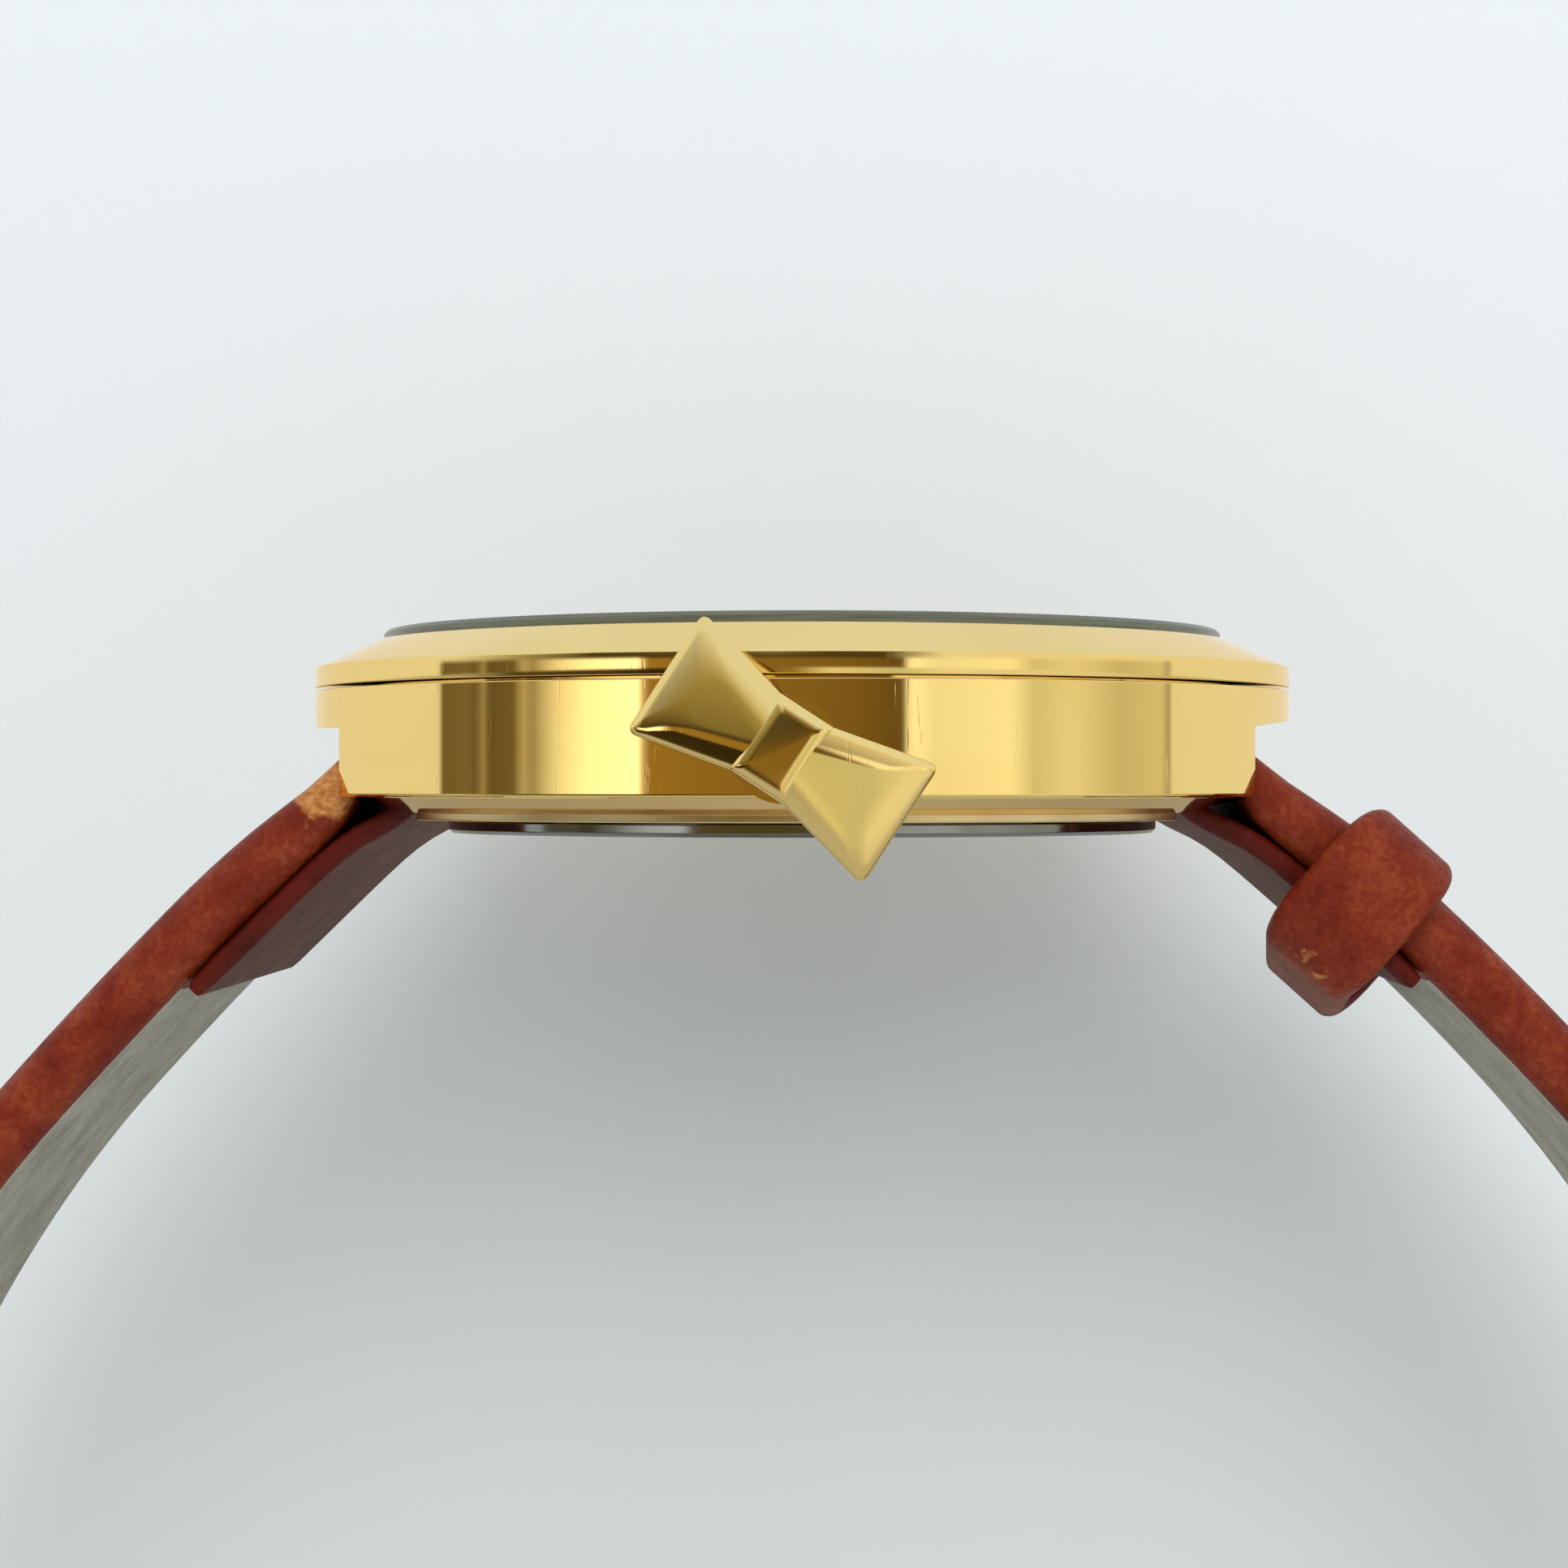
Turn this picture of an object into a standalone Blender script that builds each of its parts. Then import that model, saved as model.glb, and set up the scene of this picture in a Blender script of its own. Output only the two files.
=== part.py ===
"""Ladies' quartz wristwatch with a bow-shaped crown on a leather strap, unbuckled, dial up.

+X points to 12 o'clock, -Y to the crown at 3 o'clock and +Z up through the dial. The origin is the
centre of the caseback's outer face. Sizes are in millimetres until a mesh is finished in metres.
"""

import math

import bmesh
import bpy
from mathutils import Matrix, Vector
from mathutils.geometry import convex_hull_2d, tessellate_polygon

MM = 0.001
FIT = 0.05
SEAT = 0.02
CASE_SIDES = 56
RING_SIDES = 40
SMALL_SIDES = 16

# Case, bezel and crystal: radii and heights above the caseback's face
CASE_R = 17.0
CASE_TOP = 4.85
WALL_LOW = 1.27
CASE_WALL = 5.55
LIP_STEP = 2.2
LIP_R = CASE_R - LIP_STEP
LIP_LOW = 0.49
LIP_HIGH = 0.78
SEAM = 0.10
BORE_R = CASE_R - CASE_WALL
GASKET_GROOVE = 0.55
GASKET_BORE_R = BORE_R + GASKET_GROOVE
GASKET_BORE_TOP = 0.85
DIAL_LEDGE = 4.0
RIM_STEP = 2.0
RIM_WALL = 0.6
RIM_R = CASE_R - RIM_STEP
DIAL_BORE_R = RIM_R - RIM_WALL
RIM_TOP = 5.45
BEZEL_WIDTH = 2.38
BEZEL_LAND = 0.23
CRYSTAL_SEAT = 0.92
CRYSTAL_R = CASE_R - BEZEL_WIDTH
BEZEL_SHOULDER = 5.66
BEZEL_TOP = 6.63
BEZEL_TOP_R = CRYSTAL_R + BEZEL_LAND
BEZEL_WINDOW_R = CRYSTAL_R - CRYSTAL_SEAT
BEZEL_LEDGE = 5.75
LEDGE_THICKNESS = 0.2
CRYSTAL_TOP = 6.98
CRYSTAL_BEVEL = 0.1
CRYSTAL_GASKET = 0.13
CASEBACK_FLANGE = 0.95
CASEBACK_R = BORE_R + CASEBACK_FLANGE
CASEBACK_RIM = 0.40
CASEBACK_FLOOR = 0.60
SNAP_RING_TOP = 1.1
SNAP_RING_WALL = 0.5

# Strap openings under the case wall, and the spring bars in them
STRAP_SLOT = 16.2
SLOT_TOP = 3.5
SLOT_WEB = 0.35
SLOT_BACK = BORE_R + SLOT_WEB
BAR_INSET = 3.5
BAR_X = CASE_R - BAR_INSET
BAR_Z = 1.85
BAR_R = 0.75
BAR_BORE_R = 0.45
BAR_HALF = 6.9
PIN_R = 0.40
PIN_FLANGE_R = 0.70
PIN_FLANGE = 0.3
PIN_REACH = 0.75
PIN_DEPTH = 1.6

# Straps
STRAP_LUG_WIDTH = 16.0
STRAP_END_WIDTH = 14.0
LONG_LENGTH = 106.0
SHORT_LENGTH = 65.0
LUG_BEND = 16.0
SIDE_BEND = 21.2
FLOOR_BEND = 39.8
ROUTE_STEP = 3.6
LEATHER = 1.3
LINING = 0.85
FLAP = 0.7
FLAP_LENGTH = 9.5
LOOP_R = 1.5
LOOP_WALL = 0.65
LONG_TIP = 8.0
STRAP_EDGE = 0.3
HOLE_R = 0.8
HOLE_COUNT = 6
HOLE_PITCH = 6.5
FIRST_HOLE = 24.0

# Keepers and buckle
KEEPER_WIDTH = 3.9
KEEPER_GAP = 0.2
KEEPER_WALL = 0.9
LOOSE_KEEPER_ROOM = 4.1
FIXED_KEEPER_ROOM = 4.7
LOOSE_KEEPER_AT = 6.2
KEEPER_TO_BUCKLE = 10.0
FIXED_KEEPER_AT = SHORT_LENGTH - KEEPER_TO_BUCKLE
KEEPER_CORNER = 1.2
KEEPER_INNER_CORNER = 0.5
BUCKLE_LENGTH = 10.5
BUCKLE_BAR_THICKNESS = 2.2
BUCKLE_ARM = 1.8
BUCKLE_HEIGHT = 1.6
BUCKLE_CORNER = 1.6
BUCKLE_BAR_R = 0.7
BUCKLE_PIVOT_R = 0.45
TONGUE_WIDTH = 1.7
TONGUE_THICKNESS = 0.7
TONGUE_SLOT = 2.6

# Crown, tube and stem
STEM_Z = 2.7
STEM_R = 0.45
TUBE_R = 0.85
TUBE_BORE_R = 0.55
TUBE_INSET = 0.55
TUBE_PROUD = 0.9
TUBE_INNER_Y = BORE_R + TUBE_INSET
TUBE_OUTER_Y = CASE_R + TUBE_PROUD
CROWN_CLEARANCE = 0.25
BOW_BACK = CASE_R + CROWN_CLEARANCE
BOW_DEPTH = 3.15
BOW_LENGTH = 8.0
BOW_END = 3.9
BOW_WAIST = 2.5
KNOT_LENGTH = 2.2
KNOT_HEIGHT = 2.7
BOW_TILT = 33.0
CROWN_BORE_ROOM = 0.25
CROWN_BORE_R = TUBE_R + CROWN_BORE_ROOM
CROWN_BORE_DEPTH = 1.1
CROWN_GASKET_IN = 0.15
CROWN_GASKET = 0.25
GROOVE_Y = 6.8
GROOVE_HALF = 0.22
GROOVE_R = 0.3
SQUARE_HALF = 0.25
SQUARE_FROM = 5.7
STEM_END = 3.9
CLUTCH_FROM = 4.3
CLUTCH_TO = 5.4

# Movement levels
PLATE_R = 9.2
PLATE_LOW = 2.9
PLATE_HIGH = 3.6
BRIDGE_LOW = 1.3
BRIDGE_HIGH = 1.5
WHEEL_THICKNESS = 0.14
SECOND_WHEEL_Z = 1.65
FIFTH_WHEEL_Z = 1.95
THIRD_WHEEL_Z = 2.2
CENTER_WHEEL_Z = 2.5
MOTION_Z = 3.63
HOUR_WHEEL_Z = 3.83
PIVOT_R = 0.12
CENTER_BORE_R = 0.32
CENTER_HUB_R = 0.6
HOUR_BORE_R = 0.47
HOUR_PIPE_R = 0.7
BATTERY_R = 2.9
BATTERY_HEIGHT = 2.1
BATTERY_LOW = 0.75
BATTERY_AT = (5.45, 1.98)
ROTOR_R = 0.75
CLAMP_ROOM = 0.5
PLATE_ROOM = 0.1
COIL_R = 0.75
COIL_LENGTH = 4.6

# Gear trains: teeth of wheel and pinion, and module
SECOND_TEETH = 50
FIFTH_PINION_TEETH = 10
SECOND_MODULE = 0.11
FIFTH_TEETH = 48
ROTOR_TEETH = 8
FIFTH_MODULE = 0.07
THIRD_TEETH = 45
SECOND_PINION_TEETH = 6
THIRD_MODULE = 0.12
CENTER_TEETH = 48
THIRD_PINION_TEETH = 6
MINUTE_TEETH = 36
CANNON_TEETH = 12
MINUTE_MODULE = 0.10
HOUR_TEETH = 40
MINUTE_PINION_TEETH = 10
FIFTH_ANGLE = 100.0
ROTOR_ANGLE = 125.0
THIRD_ANGLE = 200.0
MINUTE_ANGLE = 315.0

# Dial and hands
DIAL_THICKNESS = 0.4
DIAL_HOLE_R = 0.8
FLANGE_SLOPE = 0.5
FLANGE_R = BEZEL_WINDOW_R - FLANGE_SLOPE
MARKER_OUTER = FLANGE_R - 0.6
MARKER_INNER = FLANGE_R - 3.0
LONG_MARKER_INNER = FLANGE_R - 4.0
HOUR_HAND_Z = 4.72
MINUTE_HAND_Z = 4.97
SECOND_HAND_Z = 5.22
HAND_THICKNESS = 0.12
HOUR_HAND = FLANGE_R - 5.8
MINUTE_HAND = FLANGE_R - 2.0
SECOND_HAND = FLANGE_R - 1.0
HOUR_TURN = 55.0
MINUTE_TURN = -60.0
SECOND_TURN = 150.0

DIAL_LOW = DIAL_LEDGE + FIT
DIAL_HIGH = DIAL_LOW + DIAL_THICKNESS
THIRD_DISTANCE = THIRD_MODULE * (THIRD_TEETH + SECOND_PINION_TEETH) / 2
CENTER_MODULE = 2 * THIRD_DISTANCE / (CENTER_TEETH + THIRD_PINION_TEETH)
FIFTH_DISTANCE = SECOND_MODULE * (SECOND_TEETH + FIFTH_PINION_TEETH) / 2
ROTOR_DISTANCE = FIFTH_MODULE * (FIFTH_TEETH + ROTOR_TEETH) / 2
MINUTE_DISTANCE = MINUTE_MODULE * (MINUTE_TEETH + CANNON_TEETH) / 2
HOUR_MODULE = 2 * MINUTE_DISTANCE / (HOUR_TEETH + MINUTE_PINION_TEETH)

for old in list(bpy.data.objects):
    bpy.data.objects.remove(old, do_unlink=True)


def material(name, colour, roughness, metallic=0.0, alpha=1.0):
    made = bpy.data.materials.new(name)
    made.use_nodes = True
    shader = made.node_tree.nodes["Principled BSDF"]
    shader.inputs["Base Color"].default_value = (*colour, 1.0)
    shader.inputs["Roughness"].default_value = roughness
    shader.inputs["Metallic"].default_value = metallic
    shader.inputs["Alpha"].default_value = alpha
    return made


GOLD = material("gold", (0.83, 0.58, 0.26), 0.12, 1.0)
STEEL = material("steel", (0.62, 0.62, 0.63), 0.25, 1.0)
BRASS = material("brass", (0.72, 0.55, 0.28), 0.3, 1.0)
GLASS = material("crystal", (0.9, 0.95, 0.93), 0.03, 0.0, 0.3)
DIAL_WHITE = material("dial_white", (0.88, 0.86, 0.82), 0.4)
BLACK_RUBBER = material("black_rubber", (0.03, 0.03, 0.03), 0.6)
PLASTIC = material("movement_plastic", (0.75, 0.74, 0.7), 0.5)
COPPER = material("copper", (0.7, 0.33, 0.17), 0.35, 1.0)
BOARD_GREEN = material("board_green", (0.06, 0.25, 0.12), 0.5)
LEATHER_RED = material("leather", (0.45, 0.11, 0.05), 0.5)
LINING_GREY = material("lining", (0.42, 0.40, 0.35), 0.7)


def finish(name, bm, finish_material, place=(0.0, 0.0, 0.0), turn_y=0.0):
    """One named object in metres, with its origin at place and turned about Y."""
    bmesh.ops.recalc_face_normals(bm, faces=bm.faces)
    bmesh.ops.scale(bm, vec=(MM, MM, MM), verts=bm.verts)
    mesh = bpy.data.meshes.new(name)
    bm.to_mesh(mesh)
    bm.free()
    mesh.shade_smooth()
    mesh.set_sharp_from_angle(angle=math.radians(35))
    mesh.materials.append(finish_material)
    made = bpy.data.objects.new(name, mesh)
    made.location = Vector(place) * MM
    made.rotation_euler = (0.0, turn_y, 0.0)
    bpy.context.scene.collection.objects.link(made)
    return made


def tool(name, bm, place=(0.0, 0.0, 0.0), turn_y=0.0):
    """A guide body for a Boolean, kept out of the model."""
    made = finish(name, bm, STEEL, place, turn_y)
    made.hide_render = True
    made.display_type = "WIRE"
    return made


def boolean(target, other, operation):
    step = target.modifiers.new(other.name, "BOOLEAN")
    step.operation = operation
    step.object = other
    step.solver = "EXACT"
    return target


def turned(bm, profile, sides=SMALL_SIDES, matrix=Matrix()):
    """A closed outline of (radius, height) points spun round the matrix's Z axis."""
    rings = []
    for radius, height in profile:
        if radius == 0.0:
            rings.append([bm.verts.new(matrix @ Vector((0.0, 0.0, height)))])
            continue
        ring = []
        for step in range(sides):
            angle = math.tau * step / sides
            point = Vector((radius * math.cos(angle), radius * math.sin(angle), height))
            ring.append(bm.verts.new(matrix @ point))
        rings.append(ring)
    for ring, after in zip(rings, rings[1:] + rings[:1]):
        if len(ring) == 1 and len(after) == 1:
            continue
        for step in range(sides):
            forward = (step + 1) % sides
            corners = [ring[step % len(ring)], ring[forward % len(ring)]]
            corners += [after[forward % len(after)], after[step % len(after)]]
            bm.faces.new(list(dict.fromkeys(corners)))
    return bm


def plate(bm, loops, low, high, matrix=Matrix()):
    """A flat outline with holes, the first loop the outside, raised from low to high."""
    flat = [[Vector((x, y, 0.0)) for x, y in loop] for loop in loops]
    points = [point for loop in flat for point in loop]
    floor = [bm.verts.new(matrix @ Vector((p.x, p.y, low))) for p in points]
    roof = [bm.verts.new(matrix @ Vector((p.x, p.y, high))) for p in points]
    for a, b, c in tessellate_polygon(flat):
        bm.faces.new((floor[a], floor[b], floor[c]))
        bm.faces.new((roof[c], roof[b], roof[a]))
    first = 0
    for loop in flat:
        for step in range(len(loop)):
            here = first + step
            there = first + (step + 1) % len(loop)
            bm.faces.new((floor[here], floor[there], roof[there], roof[here]))
        first += len(loop)
    return bm


def loft(bm, sections):
    """Equal rings of points skinned one to the next, with both ends capped."""
    rings = [[bm.verts.new(point) for point in section] for section in sections]
    for ring, after in zip(rings, rings[1:]):
        for step in range(len(ring)):
            forward = (step + 1) % len(ring)
            bm.faces.new((ring[step], ring[forward], after[forward], after[step]))
    bm.faces.new(list(reversed(rings[0])))
    bm.faces.new(rings[-1])
    return bm


def circle(radius, centre=(0.0, 0.0), sides=SMALL_SIDES):
    points = []
    for step in range(sides):
        angle = math.tau * step / sides
        points.append((centre[0] + radius * math.cos(angle), centre[1] + radius * math.sin(angle)))
    return points


def box_outline(x_low, x_high, y_low, y_high):
    return [(x_low, y_low), (x_high, y_low), (x_high, y_high), (x_low, y_high)]


def rounded_box(x_low, x_high, y_low, y_high, radius, steps=4):
    points = []
    corners = ((x_high, y_high, 0), (x_low, y_high, 90), (x_low, y_low, 180), (x_high, y_low, 270))
    for x, y, start in corners:
        centre_x = x - math.copysign(radius, x - (x_low + x_high) / 2)
        centre_y = y - math.copysign(radius, y - (y_low + y_high) / 2)
        for step in range(steps + 1):
            angle = math.radians(start + 90 * step / steps)
            points.append((centre_x + radius * math.cos(angle), centre_y + radius * math.sin(angle)))
    return points


def hull(*circles):
    points = [Vector(point) for ring in circles for point in ring]
    return [tuple(points[index]) for index in convex_hull_2d(points)]


def polar(distance, degrees, centre=(0.0, 0.0)):
    angle = math.radians(degrees)
    return (centre[0] + distance * math.cos(angle), centre[1] + distance * math.sin(angle))


def gear(teeth, module, centre=(0.0, 0.0), tooth_at=0.0):
    """A toothed outline with one tooth centred on the angle tooth_at."""
    tip = module * (teeth / 2 + 0.75)
    root = module * (teeth / 2 - 1.1)
    pitch = math.tau / teeth
    points = []
    for tooth in range(teeth):
        middle = math.radians(tooth_at) + tooth * pitch
        for radius, share in ((root, -0.5), (tip, -0.13), (tip, 0.13)):
            angle = middle + share * pitch
            points.append((centre[0] + radius * math.cos(angle), centre[1] + radius * math.sin(angle)))
    return points


def meshing(teeth, direction):
    """Where a tooth stands on a wheel whose gap faces back along direction."""
    return direction + 180.0 + 180.0 / teeth


ALONG_Y = Matrix.Rotation(math.radians(90), 4, "X")


def outward_y(z):
    """Turns a Z profile so that its heights run out along -Y at the height z."""
    return Matrix.Translation((0.0, 0.0, z)) @ ALONG_Y


# Case middle: a turned wall with a bevelled foot and lip, opened below for the strap ends
case_profile = [
    (CASE_R, CASE_TOP),
    (CASE_R, WALL_LOW + 0.12),
    (CASE_R - 0.12, WALL_LOW),
    (LIP_R + 0.3, LIP_HIGH),
    (LIP_R, LIP_HIGH - 0.05),
    (LIP_R, LIP_LOW + 0.06),
    (LIP_R - 0.06, LIP_LOW),
    (GASKET_BORE_R, LIP_LOW),
    (GASKET_BORE_R, GASKET_BORE_TOP),
    (BORE_R, GASKET_BORE_TOP),
    (BORE_R, DIAL_LEDGE),
    (DIAL_BORE_R, DIAL_LEDGE),
    (DIAL_BORE_R, RIM_TOP),
    (RIM_R, RIM_TOP),
    (RIM_R, CASE_TOP),
]
case_middle = finish("case_middle", turned(bmesh.new(), case_profile, CASE_SIDES), GOLD)

slot_cut = bmesh.new()
for side in (1, -1):
    slot_outline = rounded_box(SLOT_BACK, CASE_R + 4.0, -3.0, SLOT_TOP, 0.6)
    slot_matrix = Matrix.Rotation(math.radians(90 - 90 * side), 4, "Z") @ ALONG_Y
    plate(slot_cut, [slot_outline], -STRAP_SLOT / 2, STRAP_SLOT / 2, slot_matrix)
boolean(case_middle, tool("strap_openings", slot_cut), "DIFFERENCE")

pin_cut = bmesh.new()
for side in (1, -1):
    for end in (1, -1):
        pin_hole = [(0.0, end * 7.0), (PIN_R + FIT, end * 7.0)]
        pin_hole += [(PIN_R + FIT, end * (STRAP_SLOT / 2 + PIN_REACH + FIT))]
        pin_hole += [(0.0, end * (STRAP_SLOT / 2 + PIN_REACH + FIT))]
        place = Matrix.Translation((side * BAR_X, 0.0, 0.0)) @ outward_y(BAR_Z)
        turned(pin_cut, pin_hole, 12, place)
boolean(case_middle, tool("pin_holes", pin_cut), "DIFFERENCE")

tube_cut = [(0.0, BORE_R - 1.5), (TUBE_R + FIT, BORE_R - 1.5)]
tube_cut += [(TUBE_R + FIT, CASE_R + 1.0), (0.0, CASE_R + 1.0)]
tube_hole = tool("tube_hole", turned(bmesh.new(), tube_cut, SMALL_SIDES, outward_y(STEM_Z)))
boolean(case_middle, tube_hole, "DIFFERENCE")

tube_profile = [
    (TUBE_BORE_R, TUBE_INNER_Y),
    (TUBE_R, TUBE_INNER_Y),
    (TUBE_R, TUBE_OUTER_Y),
    (TUBE_BORE_R, TUBE_OUTER_Y),
]
finish("crown_tube", turned(bmesh.new(), tube_profile, SMALL_SIDES, outward_y(STEM_Z)), STEEL)

# Bezel, crystal with its gasket, and the sloped ring between crystal and dial
bezel_profile = [
    (CASE_R, CASE_TOP + SEAM),
    (CASE_R, BEZEL_SHOULDER),
    (BEZEL_TOP_R, BEZEL_TOP),
    (CRYSTAL_R + FIT, BEZEL_TOP),
    (CRYSTAL_R + FIT, BEZEL_LEDGE),
    (BEZEL_WINDOW_R, BEZEL_LEDGE),
    (BEZEL_WINDOW_R, BEZEL_LEDGE - LEDGE_THICKNESS),
    (RIM_R + FIT, BEZEL_LEDGE - LEDGE_THICKNESS),
    (RIM_R + FIT, CASE_TOP + SEAM),
]
finish("bezel", turned(bmesh.new(), bezel_profile, CASE_SIDES), GOLD)

gasket_low = BEZEL_LEDGE + SEAT
gasket_high = gasket_low + CRYSTAL_GASKET
gasket_profile = [
    (BEZEL_WINDOW_R, gasket_low),
    (CRYSTAL_R, gasket_low),
    (CRYSTAL_R, gasket_high),
    (BEZEL_WINDOW_R, gasket_high),
]
finish("crystal_gasket", turned(bmesh.new(), gasket_profile, RING_SIDES), BLACK_RUBBER)

crystal_profile = [
    (0.0, gasket_high + SEAT),
    (CRYSTAL_R, gasket_high + SEAT),
    (CRYSTAL_R, CRYSTAL_TOP - CRYSTAL_BEVEL),
    (CRYSTAL_R - CRYSTAL_BEVEL, CRYSTAL_TOP),
    (0.0, CRYSTAL_TOP),
]
finish("crystal", turned(bmesh.new(), crystal_profile, CASE_SIDES), GLASS)

flange_profile = [
    (FLANGE_R, DIAL_HIGH + SEAT),
    (DIAL_BORE_R - FIT, DIAL_HIGH + SEAT),
    (DIAL_BORE_R - FIT, RIM_TOP),
    (BEZEL_WINDOW_R, RIM_TOP),
]
finish("flange_ring", turned(bmesh.new(), flange_profile, RING_SIDES), GOLD)

# Caseback: a snap-in steel cover with its gasket
caseback_profile = [
    (0.0, 0.0),
    (CASEBACK_R - 0.15, 0.0),
    (CASEBACK_R, 0.12),
    (CASEBACK_R, CASEBACK_RIM),
    (BORE_R - FIT, CASEBACK_RIM),
    (BORE_R - FIT, SNAP_RING_TOP),
    (BORE_R - FIT - SNAP_RING_WALL, SNAP_RING_TOP),
    (BORE_R - FIT - SNAP_RING_WALL, CASEBACK_FLOOR),
    (0.0, CASEBACK_FLOOR),
]
finish("caseback", turned(bmesh.new(), caseback_profile, CASE_SIDES), STEEL)

back_gasket_profile = [
    (BORE_R, CASEBACK_RIM + SEAT),
    (GASKET_BORE_R - SEAT, CASEBACK_RIM + SEAT),
    (GASKET_BORE_R - SEAT, GASKET_BORE_TOP - SEAT),
    (BORE_R, GASKET_BORE_TOP - SEAT),
]
finish("caseback_gasket", turned(bmesh.new(), back_gasket_profile, RING_SIDES), BLACK_RUBBER)

# Dial with applied hour markers and two feet
dial_feet = (polar(7.6, 36.0), polar(7.6, 216.0))
dial_disc = [circle(DIAL_BORE_R - 2 * FIT, sides=CASE_SIDES), circle(DIAL_HOLE_R)]
dial = finish("dial", plate(bmesh.new(), dial_disc, DIAL_LOW, DIAL_HIGH), DIAL_WHITE)
markers = bmesh.new()
for hour in range(12):
    long_marker = hour % 3 == 0
    inner = LONG_MARKER_INNER if long_marker else MARKER_INNER
    half = 0.45 if long_marker else 0.28
    turn = Matrix.Rotation(math.radians(30 * hour), 4, "Z")
    bar = box_outline(inner, MARKER_OUTER, -half, half)
    plate(markers, [bar], DIAL_LOW + 0.2, DIAL_HIGH + 0.15, turn)
boolean(dial, tool("hour_markers", markers), "UNION")
feet = bmesh.new()
for foot in dial_feet:
    plate(feet, [circle(0.3, foot, 12)], PLATE_LOW + 0.2, DIAL_LOW + 0.2)
boolean(dial, tool("dial_feet", feet), "UNION")

# Movement: spacer ring, main plate and train bridge
fifth_at = polar(FIFTH_DISTANCE, FIFTH_ANGLE)
rotor_at = polar(ROTOR_DISTANCE, ROTOR_ANGLE, fifth_at)
third_at = polar(THIRD_DISTANCE, THIRD_ANGLE)
minute_at = polar(MINUTE_DISTANCE, MINUTE_ANGLE)
lever_at = (2.4, -GROOVE_Y)
pillars = ((-4.65, 2.71), (2.4, 4.4), (-5.6, -2.9))

battery_reach = math.hypot(*BATTERY_AT)
ring_bore_r = max(PLATE_R, battery_reach + BATTERY_R + CLAMP_ROOM) + PLATE_ROOM
ring_profile = [
    (ring_bore_r, SNAP_RING_TOP + 0.15),
    (BORE_R - FIT, SNAP_RING_TOP + 0.15),
    (BORE_R - FIT, DIAL_LEDGE - FIT),
    (ring_bore_r, DIAL_LEDGE - FIT),
]
movement_ring = finish("movement_ring", turned(bmesh.new(), ring_profile, RING_SIDES), PLASTIC)
way_r = TUBE_R + 0.1
way_profile = [(0.0, PLATE_R - 1.0), (way_r, PLATE_R - 1.0), (way_r, BORE_R + 1.0), (0.0, BORE_R + 1.0)]
stem_way = tool("ring_stem_way", turned(bmesh.new(), way_profile, 16, outward_y(STEM_Z)))
boolean(movement_ring, stem_way, "DIFFERENCE")

plate_holes = [circle(0.36, sides=16)]
plate_holes += [circle(PIVOT_R + FIT, at, 10) for at in (third_at, fifth_at, rotor_at)]
plate_holes += [circle(0.35, foot, 12) for foot in dial_feet]
stem_slot = box_outline(-0.85, 0.85, -PLATE_R - 1.0, -STEM_END + 0.2)
plate_loops = [circle(PLATE_R, sides=RING_SIDES), *plate_holes]
main_plate = finish("main_plate", plate(bmesh.new(), plate_loops, PLATE_LOW, PLATE_HIGH), BRASS)
stem_slot_body = plate(bmesh.new(), [stem_slot], PLATE_LOW - 0.5, PLATE_HIGH + 0.5)
boolean(main_plate, tool("stem_slot", stem_slot_body), "DIFFERENCE")
posts = bmesh.new()
plate(posts, [circle(0.15, minute_at, 10)], PLATE_HIGH - 0.3, HOUR_WHEEL_Z + WHEEL_THICKNESS)
plate(posts, [circle(0.2, lever_at, 10)], STEM_Z - 0.25, PLATE_LOW + 0.3)
boolean(main_plate, tool("plate_posts", posts), "UNION")

bridge_outline = hull(
    circle(3.7, (-1.6, 1.6), 40), circle(0.7, pillars[1], 16), circle(0.7, pillars[2], 16)
)
bridge_holes = [circle(PIVOT_R + FIT, at, 10) for at in ((0.0, 0.0), third_at, fifth_at, rotor_at)]
bridge_body = plate(bmesh.new(), [bridge_outline, *bridge_holes], BRIDGE_LOW, BRIDGE_HIGH)
train_bridge = finish("train_bridge", bridge_body, BRASS)
pillar_bodies = bmesh.new()
for pillar in pillars:
    plate(pillar_bodies, [circle(0.4, pillar, 12)], BRIDGE_HIGH - 0.1, PLATE_LOW - SEAT)
boolean(train_bridge, tool("bridge_pillars", pillar_bodies), "UNION")


def arbor(low, high, centre):
    bm = bmesh.new()
    place = Matrix.Translation((*centre, 0.0))
    return turned(bm, [(0.0, low), (PIVOT_R, low), (PIVOT_R, high), (0.0, high)], 12, place)


def wheel(name, outline, z, centre, pinion, pinion_low, pinion_high, low, high):
    """A toothed wheel and its pinion on one arbor, with its origin on the arbor."""
    shift = Matrix.Translation((-centre[0], -centre[1], 0.0))
    place = (*centre, 0.0)
    made = finish(name, plate(bmesh.new(), [outline], z, z + WHEEL_THICKNESS, shift), BRASS, place)
    pinion_body = plate(bmesh.new(), [pinion], pinion_low, pinion_high, shift)
    boolean(made, tool(name + "_pinion", pinion_body, place), "UNION")
    return boolean(made, tool(name + "_arbor", arbor(low, high, (0.0, 0.0)), place), "UNION")


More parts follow.
